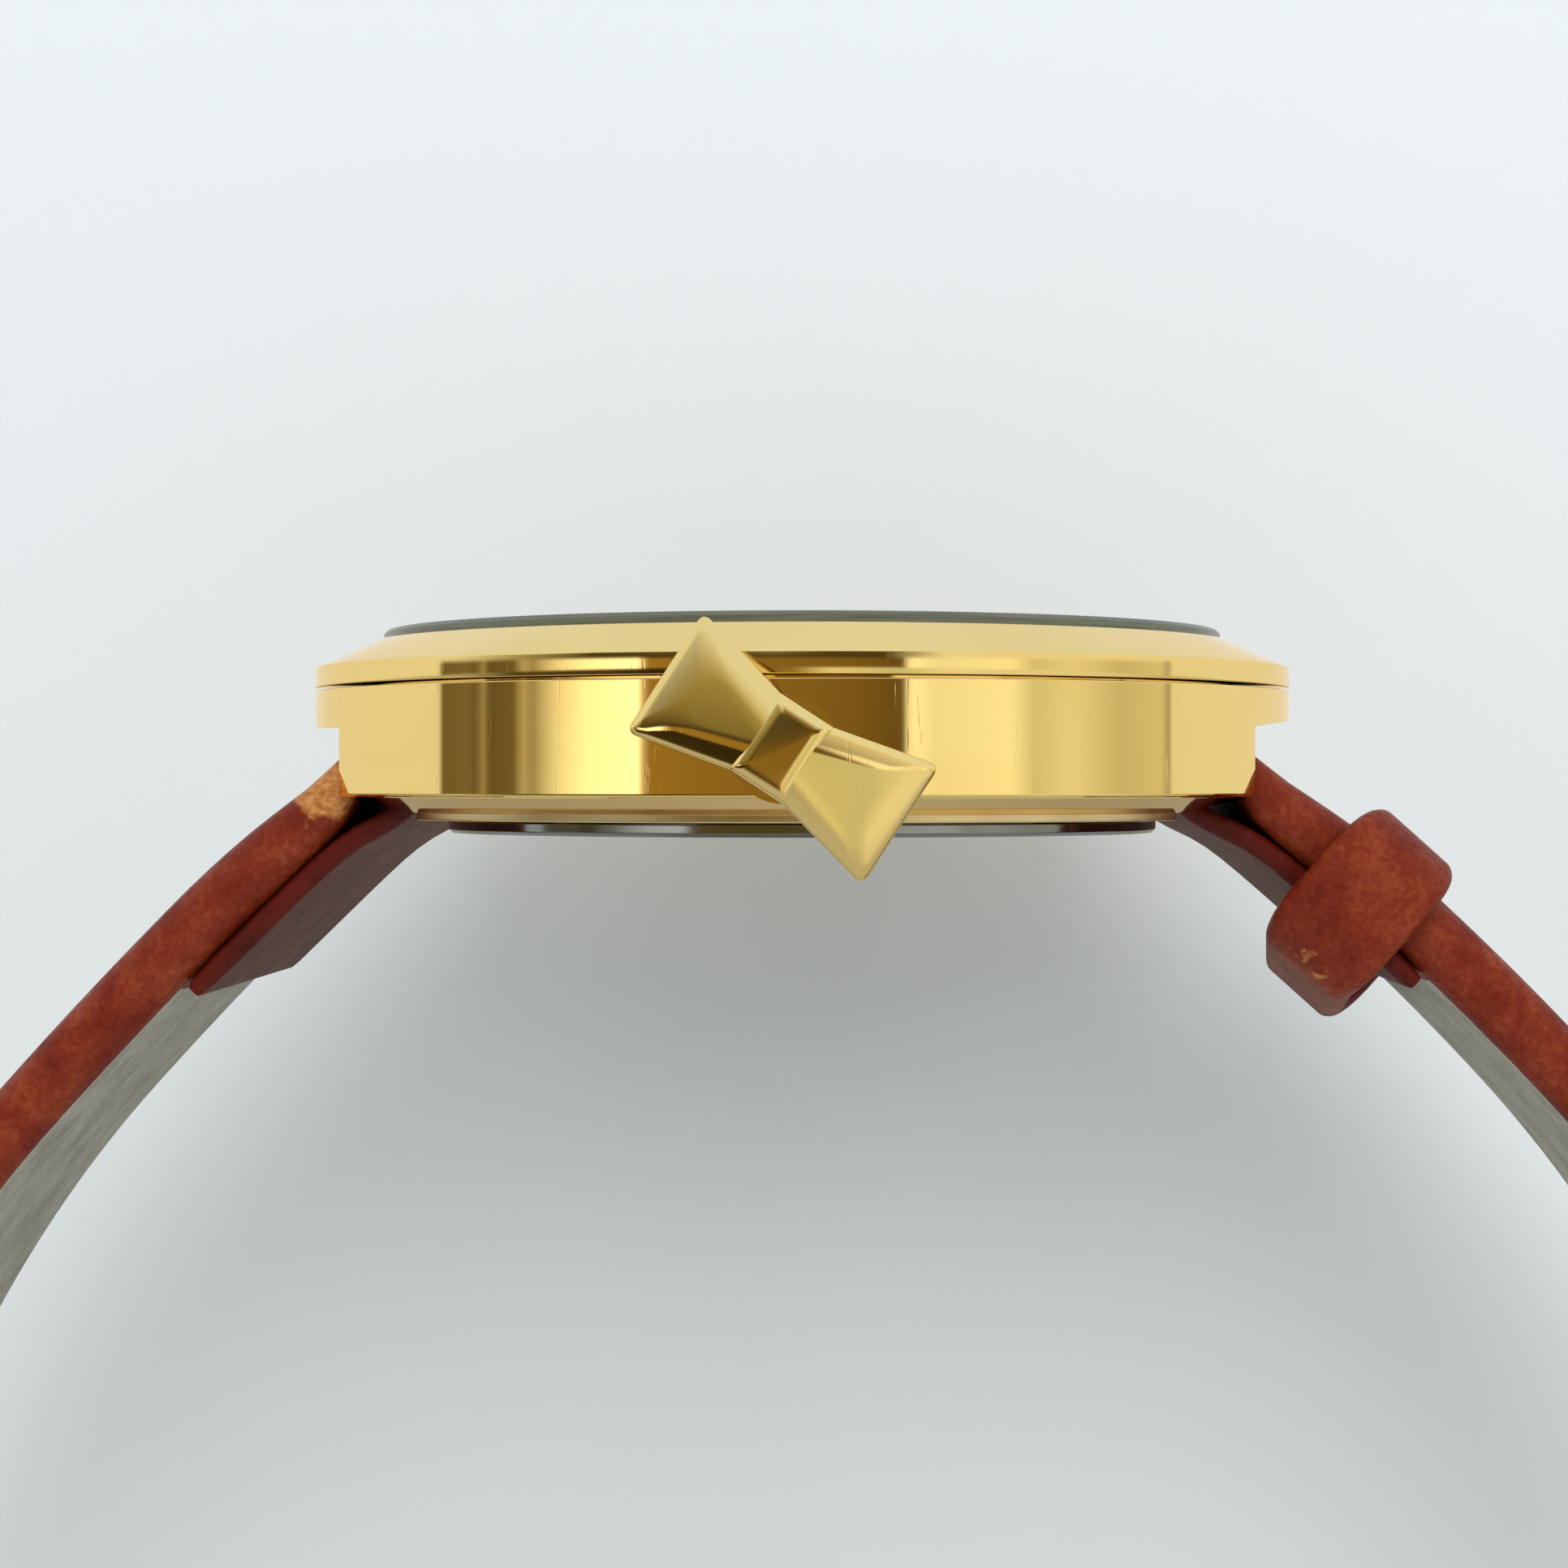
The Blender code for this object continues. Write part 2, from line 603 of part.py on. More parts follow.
# Going train: rotor, fifth wheel, second wheel, third wheel and center wheel
rotor = wheel(
    "rotor", circle(ROTOR_R, rotor_at), 2.4, rotor_at,
    gear(ROTOR_TEETH, FIFTH_MODULE, rotor_at, meshing(ROTOR_TEETH, ROTOR_ANGLE)),
    1.85, 2.45, BRIDGE_LOW, PLATE_HIGH - 0.2,
)
wheel(
    "fifth_wheel", gear(FIFTH_TEETH, FIFTH_MODULE, fifth_at, ROTOR_ANGLE), FIFTH_WHEEL_Z, fifth_at,
    gear(FIFTH_PINION_TEETH, SECOND_MODULE, fifth_at, meshing(FIFTH_PINION_TEETH, FIFTH_ANGLE)),
    SECOND_WHEEL_Z - 0.05, FIFTH_WHEEL_Z + 0.05, BRIDGE_LOW, PLATE_HIGH - 0.2,
)
wheel(
    "second_wheel", gear(SECOND_TEETH, SECOND_MODULE, tooth_at=FIFTH_ANGLE), SECOND_WHEEL_Z, (0.0, 0.0),
    gear(SECOND_PINION_TEETH, THIRD_MODULE, tooth_at=THIRD_ANGLE),
    SECOND_WHEEL_Z + 0.05, THIRD_WHEEL_Z + 0.2, BRIDGE_LOW, SECOND_HAND_Z + HAND_THICKNESS + 0.1,
)
wheel(
    "third_wheel", gear(THIRD_TEETH, THIRD_MODULE, third_at, meshing(THIRD_TEETH, THIRD_ANGLE)),
    THIRD_WHEEL_Z, third_at,
    gear(THIRD_PINION_TEETH, CENTER_MODULE, third_at, meshing(THIRD_PINION_TEETH, THIRD_ANGLE)),
    THIRD_WHEEL_Z + 0.05, CENTER_WHEEL_Z + 0.25, BRIDGE_LOW, PLATE_HIGH - 0.2,
)
center_outline = gear(CENTER_TEETH, CENTER_MODULE, tooth_at=THIRD_ANGLE)
center_bore = circle(CENTER_BORE_R, sides=16)
center_top = CENTER_WHEEL_Z + WHEEL_THICKNESS
center_body = plate(bmesh.new(), [center_outline, center_bore], CENTER_WHEEL_Z, center_top)
center_wheel = finish("center_wheel", center_body, BRASS)
hub_low = CENTER_WHEEL_Z - 0.06
hub_high = PLATE_LOW - 0.06
center_hub = [
    (CENTER_BORE_R, hub_low),
    (CENTER_HUB_R, hub_low),
    (CENTER_HUB_R, hub_high),
    (CENTER_BORE_R, hub_high),
]
boolean(center_wheel, tool("center_hub", turned(bmesh.new(), center_hub, 16)), "UNION")

# Motion works on the dial side: cannon pinion, minute wheel and hour wheel
cannon_profile = [
    (PIVOT_R + 0.05, CENTER_WHEEL_Z - 0.06),
    (0.28, CENTER_WHEEL_Z - 0.06),
    (0.28, MOTION_Z + 0.05),
    (0.42, MOTION_Z + 0.05),
    (0.42, MINUTE_HAND_Z + HAND_THICKNESS),
    (PIVOT_R + 0.05, MINUTE_HAND_Z + HAND_THICKNESS),
]
cannon_pinion = finish("cannon_pinion", turned(bmesh.new(), cannon_profile, 16), STEEL)
cannon_gear = plate(
    bmesh.new(),
    [gear(CANNON_TEETH, MINUTE_MODULE, tooth_at=MINUTE_ANGLE), circle(0.24, sides=16)],
    MOTION_Z, MOTION_Z + WHEEL_THICKNESS,
)
boolean(cannon_pinion, tool("cannon_gear", cannon_gear), "UNION")

minute_outline = gear(MINUTE_TEETH, MINUTE_MODULE, minute_at, meshing(MINUTE_TEETH, MINUTE_ANGLE))
minute_bore = circle(0.2, minute_at, 12)
minute_shift = Matrix.Translation((-minute_at[0], -minute_at[1], 0.0))
minute_wheel = finish(
    "minute_wheel",
    plate(
        bmesh.new(),
        [minute_outline, minute_bore],
        MOTION_Z, MOTION_Z + WHEEL_THICKNESS, minute_shift,
    ),
    BRASS, (*minute_at, 0.0),
)
minute_pinion = plate(
    bmesh.new(),
    [gear(MINUTE_PINION_TEETH, HOUR_MODULE, minute_at, MINUTE_ANGLE + 180.0), minute_bore],
    MOTION_Z + 0.05, HOUR_WHEEL_Z + WHEEL_THICKNESS, minute_shift,
)
boolean(minute_wheel, tool("minute_pinion", minute_pinion, (*minute_at, 0.0)), "UNION")

hour_outline = gear(HOUR_TEETH, HOUR_MODULE, tooth_at=MINUTE_ANGLE + 180.0 / HOUR_TEETH)
hour_loops = [hour_outline, circle(HOUR_BORE_R, sides=16)]
hour_body = plate(bmesh.new(), hour_loops, HOUR_WHEEL_Z, HOUR_WHEEL_Z + WHEEL_THICKNESS)
hour_wheel = finish("hour_wheel", hour_body, BRASS)
pipe_low = HOUR_WHEEL_Z + 0.03
pipe_high = HOUR_HAND_Z + HAND_THICKNESS
hour_pipe = [
    (HOUR_BORE_R, pipe_low),
    (HOUR_PIPE_R, pipe_low),
    (HOUR_PIPE_R, pipe_high),
    (HOUR_BORE_R, pipe_high),
]
boolean(hour_wheel, tool("hour_pipe", turned(bmesh.new(), hour_pipe, 16)), "UNION")


def hand(name, length, tail, half, hub_r, hole_r, z, turn):
    """A flat tapered hand round a ring that fits its pipe."""
    tip = circle(half * 0.25, (length, 0.0), 8)
    widest = circle(half, (length * 0.35, 0.0), 12)
    tail_end = circle(half * 0.5, (-tail, 0.0), 8)
    top = z + HAND_THICKNESS
    turned_hand = Matrix.Rotation(math.radians(turn), 4, "Z")
    made = finish(name, plate(bmesh.new(), [circle(hub_r)], z, top), GOLD)
    blade = plate(bmesh.new(), [hull(tip, widest, tail_end)], z, top, turned_hand)
    boolean(made, tool(name + "_blade", blade), "UNION")
    bore = plate(bmesh.new(), [circle(hole_r, sides=16)], z - 0.3, top + 0.3)
    return boolean(made, tool(name + "_bore", bore), "DIFFERENCE")


hand("hour_hand", HOUR_HAND, 1.6, 0.55, 1.15, 0.72, HOUR_HAND_Z, HOUR_TURN)
hand("minute_hand", MINUTE_HAND, 1.8, 0.45, 0.85, 0.44, MINUTE_HAND_Z, MINUTE_TURN)
hand("second_hand", SECOND_HAND, 3.2, 0.16, 0.5, PIVOT_R + 0.02, SECOND_HAND_Z, SECOND_TURN)

# Power and motor: battery, its clamp, circuit board, coil and stator
battery_profile = [
    (0.0, BATTERY_LOW),
    (BATTERY_R - 0.5, BATTERY_LOW),
    (BATTERY_R - 0.4, BATTERY_LOW + 0.2),
    (BATTERY_R, BATTERY_LOW + 0.2),
    (BATTERY_R, BATTERY_LOW + BATTERY_HEIGHT),
    (0.0, BATTERY_LOW + BATTERY_HEIGHT),
]
battery_place = Matrix.Translation((*BATTERY_AT, 0.0))
finish("battery", turned(bmesh.new(), battery_profile, 32, battery_place), STEEL)

clamp_turn = Matrix.Rotation(math.atan2(BATTERY_AT[1], BATTERY_AT[0]), 4, "Z")
clamp_outline = rounded_box(battery_reach - 1.6, battery_reach + BATTERY_R + 0.75, -0.6, 0.6, 0.4)
clamp_low = CASEBACK_FLOOR + 0.03
clamp_body = plate(bmesh.new(), [clamp_outline], clamp_low, BATTERY_LOW - 0.03, clamp_turn)
battery_clamp = finish("battery_clamp", clamp_body, STEEL)
clamp_leg = box_outline(battery_reach + BATTERY_R + 0.12, battery_reach + BATTERY_R + 0.4, -0.6, 0.6)
leg_body = plate(bmesh.new(), [clamp_leg], CASEBACK_FLOOR + 0.05, PLATE_LOW - SEAT, clamp_turn)
boolean(battery_clamp, tool("clamp_leg", leg_body), "UNION")

board_arc = [polar(8.9, 312 + 33 * step / 8) for step in range(9)]
board_back = [polar(3.7, 345 - 33 * step / 4) for step in range(5)]
board_body = plate(bmesh.new(), [board_arc + board_back], PLATE_LOW - 0.35, PLATE_LOW - 0.1)
finish("circuit_board", board_body, BOARD_GREEN)

motor_angle = math.atan2(rotor_at[1], rotor_at[0])
motor_turn = Matrix.Rotation(motor_angle, 4, "Z")
rotor_reach = math.hypot(*rotor_at)
core_reach = rotor_reach + 2.15
stator_inner = rotor_reach - 1.3
stator_outer = rotor_reach + 1.3
tab_low = COIL_LENGTH / 2 + 0.15
tab_high = tab_low + 0.6
stator_outline = [
    (stator_inner, -tab_high),
    (core_reach + 0.7, -tab_high),
    (core_reach + 0.7, -tab_low),
    (stator_outer, -tab_low),
    (stator_outer, tab_low),
    (core_reach + 0.7, tab_low),
    (core_reach + 0.7, tab_high),
    (stator_inner, tab_high),
]
stator_hole = circle(ROTOR_R + 0.2, (rotor_reach, 0.0))
finish("stator", plate(bmesh.new(), [stator_outline, stator_hole], 2.4, 2.6, motor_turn), STEEL)
coil_profile = [
    (0.0, -COIL_LENGTH / 2),
    (COIL_R, -COIL_LENGTH / 2),
    (COIL_R, COIL_LENGTH / 2),
    (0.0, COIL_LENGTH / 2),
]
coil_place = motor_turn @ Matrix.Translation((core_reach + 0.05, 0.0, 2.05)) @ ALONG_Y
finish("coil", turned(bmesh.new(), coil_profile, 16, coil_place), COPPER)

# Stem with its groove and square end, clutch pinion and setting lever
stem_profile = [
    (0.0, SQUARE_FROM - 0.1),
    (STEM_R, SQUARE_FROM - 0.1),
    (STEM_R, GROOVE_Y - GROOVE_HALF),
    (GROOVE_R, GROOVE_Y - GROOVE_HALF),
    (GROOVE_R, GROOVE_Y + GROOVE_HALF),
    (STEM_R, GROOVE_Y + GROOVE_HALF),
    (STEM_R, BOW_BACK + CROWN_BORE_DEPTH + 0.6),
    (0.0, BOW_BACK + CROWN_BORE_DEPTH + 0.6),
]
stem_place = (0.0, 0.0, STEM_Z)
stem = finish("stem", turned(bmesh.new(), stem_profile, 16, ALONG_Y), STEEL, stem_place)
square = box_outline(-SQUARE_HALF, SQUARE_HALF, -SQUARE_HALF, SQUARE_HALF)
square_body = plate(bmesh.new(), [square], STEM_END, SQUARE_FROM + 0.1, ALONG_Y)
boolean(stem, tool("stem_square", square_body, stem_place), "UNION")

square_bore = SQUARE_HALF + 0.03
clutch_hole = box_outline(-square_bore, square_bore, -square_bore, square_bore)
clutch_body = plate(bmesh.new(), [gear(12, 0.11), clutch_hole], CLUTCH_FROM, CLUTCH_TO, ALONG_Y)
finish("clutch_pinion", clutch_body, STEEL, stem_place)

lever_nose = (GROOVE_R + 0.22, -GROOVE_Y)
lever_outline = hull(circle(0.55, lever_at, 16), circle(GROOVE_HALF - 0.05, lever_nose, 10))
lever_shift = Matrix.Translation((-lever_at[0], -lever_at[1], 0.0))
lever_loops = [lever_outline, circle(0.25, lever_at, 12)]
lever_body = plate(bmesh.new(), lever_loops, STEM_Z - 0.08, STEM_Z + 0.08, lever_shift)
finish("setting_lever", lever_body, STEEL, (*lever_at, 0.0))


def bow_section(along, height, front, back):
    """A section of the bow across its length, with bevelled front edges."""
    half = height / 2
    bevel = min(0.45, half * 0.4)
    side = front - bevel
    face = half - bevel
    outline = ((half, back), (half, side), (face, front), (-face, front), (-half, side), (-half, back))
    return [Vector((along, -depth, up)) for up, depth in outline]


# Crown: a bow of two pillowed wings and a knot, with a bore for the tube
bow_front = BOW_BACK + BOW_DEPTH
wing_end = BOW_LENGTH / 2
wings = [
    (wing_end, BOW_END - 0.8, -0.95, 0.75),
    (wing_end - 0.3, BOW_END, -0.55, 0.45),
    (wing_end * 0.62, BOW_END * 0.9, -0.1, 0.2),
    (KNOT_LENGTH / 2 - 0.1, BOW_WAIST, -0.6, 0.3),
]
wings += [(-along, height, front, back) for along, height, front, back in reversed(wings)]
bow_turn = math.radians(BOW_TILT)
wing_sections = [
    bow_section(along, height, bow_front + front, BOW_BACK + back)
    for along, height, front, back in wings
]
bow_body = loft(bmesh.new(), wing_sections)
crown = finish("crown_bow", bow_body, GOLD, stem_place, bow_turn)
knot_steps = [(KNOT_LENGTH / 2, KNOT_HEIGHT - 0.5, -0.35), (KNOT_LENGTH / 2 - 0.25, KNOT_HEIGHT, 0.0)]
knot_steps += [(-along, height, front) for along, height, front in reversed(knot_steps)]
knot_back = BOW_BACK + 0.25
knot = [bow_section(along, height, bow_front + front, knot_back) for along, height, front in knot_steps]
boolean(crown, tool("bow_knot", loft(bmesh.new(), knot), stem_place, bow_turn), "UNION")
boss_r = CROWN_BORE_R + 0.5
boss_top = BOW_BACK + 1.2
boss_profile = [(0.0, BOW_BACK), (boss_r, BOW_BACK), (boss_r, boss_top), (0.0, boss_top)]
boss = turned(bmesh.new(), boss_profile, SMALL_SIDES, ALONG_Y)
boolean(crown, tool("crown_boss", boss, stem_place), "UNION")
bore_stem = STEM_R + SEAT
bore_foot = BOW_BACK + CROWN_BORE_DEPTH
bore_profile = [
    (0.0, BOW_BACK - 1.0),
    (CROWN_BORE_R, BOW_BACK - 1.0),
    (CROWN_BORE_R, bore_foot),
    (bore_stem, bore_foot),
    (bore_stem, bore_foot + 0.7),
    (0.0, bore_foot + 0.7),
]
crown_bore = turned(bmesh.new(), bore_profile, SMALL_SIDES, ALONG_Y)
boolean(crown, tool("crown_bore", crown_bore, stem_place), "DIFFERENCE")
ring_in = TUBE_R + SEAT
ring_out = CROWN_BORE_R - SEAT
ring_back = BOW_BACK + CROWN_GASKET_IN
ring_front = ring_back + CROWN_GASKET
ring = [(ring_in, ring_back), (ring_out, ring_back), (ring_out, ring_front), (ring_in, ring_front)]
finish("crown_gasket", turned(bmesh.new(), ring, SMALL_SIDES, ALONG_Y), BLACK_RUBBER, stem_place)

# Spring bars: a tube in each strap loop, with a sprung pin at either end
tube_wall = [(BAR_BORE_R, -BAR_HALF), (BAR_R, -BAR_HALF), (BAR_R, BAR_HALF), (BAR_BORE_R, BAR_HALF)]
slot_half = STRAP_SLOT / 2
flange_out = slot_half - FIT
pin_outline = [
    (0.0, BAR_HALF - PIN_DEPTH),
    (PIN_R, BAR_HALF - PIN_DEPTH),
    (PIN_R, flange_out - PIN_FLANGE),
    (PIN_FLANGE_R, flange_out - PIN_FLANGE),
    (PIN_FLANGE_R, flange_out),
    (PIN_R, flange_out),
    (PIN_R, slot_half + PIN_REACH),
    (0.0, slot_half + PIN_REACH),
]
for label, side in (("short", 1), ("long", -1)):
    place = (side * BAR_X, 0.0, BAR_Z)
    finish(label + "_bar_tube", turned(bmesh.new(), tube_wall, 16, ALONG_Y), STEEL, place)
    for end_label, end in (("crown_side", 1), ("far_side", -1)):
        outline = [(radius, end * height) for radius, height in pin_outline]
        finish(f"{label}_bar_pin_{end_label}", turned(bmesh.new(), outline, 10, ALONG_Y), STEEL, place)


def strap_route(stages, start_heading, spacing=ROUTE_STEP):
    """Points (distance, out, down, heading) of a strap's middle from its bar, arc by arc."""
    route = [(0.0, 0.0, 0.0, math.radians(start_heading))]
    for length, end_heading in stages:
        distance, out, down, heading = route[-1]
        count = max(2, round(length / spacing))
        turn = (math.radians(end_heading) - heading) / count
        for step in range(count):
            middle = heading + turn * (step + 0.5)
            distance += length / count
            out += length / count * math.cos(middle)
            down += length / count * math.sin(middle)
            route.append((distance, out, down, heading + turn * (step + 1)))
    return route


def at_distance(route, wanted):
    """The route's point and heading at a distance along it."""
    for before, after in zip(route, route[1:]):
        if wanted <= after[0]:
            share = (wanted - before[0]) / (after[0] - before[0])
            return tuple(a + (b - a) * share for a, b in zip(before, after))
    return route[-1]


def strap_point(row, side, across, rise):
    """A point off the strap's middle: across its width and rise to its outer face."""
    out = row[1] + rise * math.sin(row[3])
    down = row[2] - rise * math.cos(row[3])
    return Vector((side * out, across, -down))


def band(route, side, start, end, low, high, half_width, edge):
    """A strip of strap between two distances, its outer edges bevelled by edge."""
    rows = [at_distance(route, start)]
    rows += [row for row in route if start + 0.4 < row[0] < end - 0.4]
    rows += [at_distance(route, end)]
    sections = []
    for row in rows:
        half = half_width(row[0])
        side_top = high - edge
        face = half - edge
        outline = [(-half, low), (half, low), (half, side_top)]
        outline += [(face, high), (-face, high), (-half, side_top)]
        sections.append([strap_point(row, side, across, rise) for across, rise in outline])
    return loft(bmesh.new(), sections)


def tapered(length):
    """A strap's half width at a distance from its bar."""
    taper = STRAP_END_WIDTH - STRAP_LUG_WIDTH
    return lambda s: (STRAP_LUG_WIDTH + taper * min(1.0, s / length)) / 2


def pointed(length):
    """The long strap's half width, with its round tip."""
    plain = tapered(length)

    def half(s):
        past = max(0.0, s - (length - LONG_TIP)) / LONG_TIP
        return plain(s) * max(0.2, math.sqrt(max(0.0, 1.0 - past * past)))

    return half


def loop_ring(half_width, bore):
    rings = [circle(LOOP_R, sides=20), circle(bore, sides=20)]
    return plate(bmesh.new(), rings, -half_width, half_width, ALONG_Y)


# Straps: outer leather turned round its bar and back, with a lining inside
LEATHER_LOW = -0.2
LEATHER_HIGH = LEATHER_LOW + LEATHER
LINING_HIGH = LEATHER_LOW - FIT
LINING_LOW = LINING_HIGH - LINING
FLAP_HIGH = LINING_LOW - FIT
LOOP_BORE = LOOP_R - LOOP_WALL
LUG_STAGES = LUG_BEND + SIDE_BEND
LONG_TAIL = LONG_LENGTH - LUG_STAGES - FLOOR_BEND
LONG_STAGES = ((LUG_BEND, 48.0), (SIDE_BEND, 75.0), (FLOOR_BEND, 180.0), (LONG_TAIL, 180.0))
SHORT_STAGES = ((LUG_BEND, 47.5), (SIDE_BEND, 75.0), (SHORT_LENGTH - LUG_STAGES, 102.0))
long_route = strap_route(LONG_STAGES, 42.0)
short_route = strap_route(SHORT_STAGES, 38.0)

straps = {}
for label, side, route, length, width in (
    ("long", -1, long_route, LONG_LENGTH, pointed(LONG_LENGTH)),
    ("short", 1, short_route, SHORT_LENGTH, tapered(SHORT_LENGTH)),
):
    place = (side * BAR_X, 0.0, BAR_Z)
    leather_end = length if side < 0 else length - 1.15
    lining_end = length - 0.6 if side < 0 else length - 2.2
    lug_half = STRAP_LUG_WIDTH / 2 - STRAP_EDGE
    leather = finish(label + "_strap", loop_ring(lug_half, LOOP_BORE), LEATHER_RED, place)
    outer = band(route, side, 1.15, leather_end, LEATHER_LOW, LEATHER_HIGH, width, STRAP_EDGE)
    boolean(leather, tool(label + "_outer", outer, place), "UNION")
    flap = band(route, side, 0.6, FLAP_LENGTH, FLAP_HIGH - FLAP, FLAP_HIGH, width, 0.1)
    boolean(leather, tool(label + "_flap", flap, place), "UNION")
    lining = band(route, side, 2.4, lining_end, LINING_LOW, LINING_HIGH, width, 0.1)
    lining = finish(label + "_strap_lining", lining, LINING_GREY, place)
    straps[label] = (leather, lining)

hole_cut = bmesh.new()
for count in range(HOLE_COUNT):
    row = at_distance(long_route, LONG_LENGTH - FIRST_HOLE - count * HOLE_PITCH)
    outward = strap_point(row, -1, 0.0, 1.0) - strap_point(row, -1, 0.0, 0.0)
    turn = outward.to_track_quat("Z", "Y").to_matrix().to_4x4()
    place = Matrix.Translation(strap_point(row, -1, 0.0, 0.0)) @ turn
    turned(hole_cut, [(0.0, -3.0), (HOLE_R, -3.0), (HOLE_R, 3.0), (0.0, 3.0)], 12, place)
long_bar = (-BAR_X, 0.0, BAR_Z)
strap_holes = tool("strap_holes", hole_cut, long_bar)
for layer in straps["long"]:
    boolean(layer, strap_holes, "DIFFERENCE")

# Buckle end of the short strap: a loop round the buckle bar, slotted for the tongue
buckle_row = at_distance(short_route, SHORT_LENGTH)
buckle_at = Vector((BAR_X, 0.0, BAR_Z)) + strap_point(buckle_row, 1, 0.0, 0.45)
short_leather = straps["short"][0]
end_loop = loop_ring(STRAP_END_WIDTH / 2 - STRAP_EDGE, BUCKLE_BAR_R + 0.1)
boolean(short_leather, tool("buckle_loop", end_loop, buckle_at), "UNION")
clear_r = BUCKLE_BAR_R + 0.1
bar_clear = [(0.0, -10.0), (clear_r, -10.0), (clear_r, 10.0), (0.0, 10.0)]
bar_way = turned(bmesh.new(), bar_clear, 20, ALONG_Y)
boolean(short_leather, tool("buckle_bar_way", bar_way, buckle_at), "DIFFERENCE")
slot_outline = box_outline(-4.5, 4.5, -4.5, 4.5)
slot_box = plate(bmesh.new(), [slot_outline], -TONGUE_SLOT / 2, TONGUE_SLOT / 2, ALONG_Y)
tongue_slot = tool("tongue_slot", slot_box, buckle_at)
for layer in straps["short"]:
    boolean(layer, tongue_slot, "DIFFERENCE")

# Buckle: frame, bar and tongue, lying folded inwards with the frame's front along -X
arm_inner = STRAP_END_WIDTH / 2 + 0.4
arm_outer = arm_inner + BUCKLE_ARM
frame_outline = rounded_box(-1.3, BUCKLE_LENGTH, -arm_outer, arm_outer, BUCKLE_CORNER)
half_height = BUCKLE_HEIGHT / 2
folded = math.pi
frame_body = plate(bmesh.new(), [frame_outline], -half_height, half_height)
buckle_frame = finish("buckle_frame", frame_body, GOLD, buckle_at, folded)
room_end = BUCKLE_LENGTH - BUCKLE_BAR_THICKNESS
frame_room = rounded_box(-BUCKLE_LENGTH, room_end, -arm_inner, arm_inner, BUCKLE_CORNER / 2)
room_body = plate(bmesh.new(), [frame_room], -half_height - 1.0, half_height + 1.0)
boolean(buckle_frame, tool("buckle_room", room_body, buckle_at, folded), "DIFFERENCE")
pivot_bore = BUCKLE_PIVOT_R + FIT
bar_bore = [(0.0, -12.0), (pivot_bore, -12.0), (pivot_bore, 12.0), (0.0, 12.0)]
bore_body = turned(bmesh.new(), bar_bore, 12, ALONG_Y)
boolean(buckle_frame, tool("buckle_bar_bore", bore_body, buckle_at), "DIFFERENCE")

bar_half = arm_inner - FIT
bar_end = arm_outer - 0.2
bar_profile = [
    (0.0, -bar_end),
    (BUCKLE_PIVOT_R, -bar_end),
    (BUCKLE_PIVOT_R, -bar_half),
    (BUCKLE_BAR_R, -bar_half),
    (BUCKLE_BAR_R, bar_half),
    (BUCKLE_PIVOT_R, bar_half),
    (BUCKLE_PIVOT_R, bar_end),
    (0.0, bar_end),
]
finish("buckle_bar", turned(bmesh.new(), bar_profile, 16, ALONG_Y), STEEL, buckle_at)

eye_r = BUCKLE_BAR_R + FIT
tongue_half = TONGUE_WIDTH / 2
eye_rings = [circle(eye_r + 0.6, sides=20), circle(eye_r, sides=20)]
eye = plate(bmesh.new(), eye_rings, -tongue_half, tongue_half, ALONG_Y)
tongue = finish("buckle_tongue", eye, GOLD, buckle_at, folded)
tongue_low = half_height + FIT
blade_side = [
    (0.2, eye_r + 0.08),
    (BUCKLE_LENGTH - 3.0, tongue_low),
    (BUCKLE_LENGTH - 0.4, tongue_low),
    (BUCKLE_LENGTH - 0.4, tongue_low + TONGUE_THICKNESS * 0.6),
    (BUCKLE_LENGTH - 3.0, tongue_low + TONGUE_THICKNESS),
    (0.2, eye_r + 0.55),
]
blade_body = plate(bmesh.new(), [blade_side], -tongue_half, tongue_half, ALONG_Y)
boolean(tongue, tool("tongue_blade", blade_body, buckle_at, folded), "UNION")


def keeper(name, distance, room, strap_low):
    """A leather band round the short strap at a distance from its bar."""
    row = at_distance(short_route, distance)
    half = tapered(SHORT_LENGTH)(distance) + KEEPER_GAP
    low = strap_low - KEEPER_GAP
    outside = half + KEEPER_WALL
    top = low + room + KEEPER_WALL
    outer = rounded_box(-outside, outside, low - KEEPER_WALL, top, KEEPER_CORNER)
    inner = rounded_box(-half, half, low, low + room, KEEPER_INNER_CORNER)
    across = Matrix(((0, 0, 1, 0), (1, 0, 0, 0), (0, 1, 0, 0), (0, 0, 0, 1)))
    body = plate(bmesh.new(), [outer, inner], -KEEPER_WIDTH / 2, KEEPER_WIDTH / 2, across)
    place = Vector((BAR_X, 0.0, BAR_Z)) + strap_point(row, 1, 0.0, 0.0)
    return finish(name, body, LEATHER_RED, place, row[3])


keeper("loose_keeper", LOOSE_KEEPER_AT, LOOSE_KEEPER_ROOM, FLAP_HIGH - FLAP)
keeper("fixed_keeper", FIXED_KEEPER_AT, FIXED_KEEPER_ROOM, LINING_LOW)
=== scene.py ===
import math

import bmesh
import bpy
from mathutils import Matrix, Vector


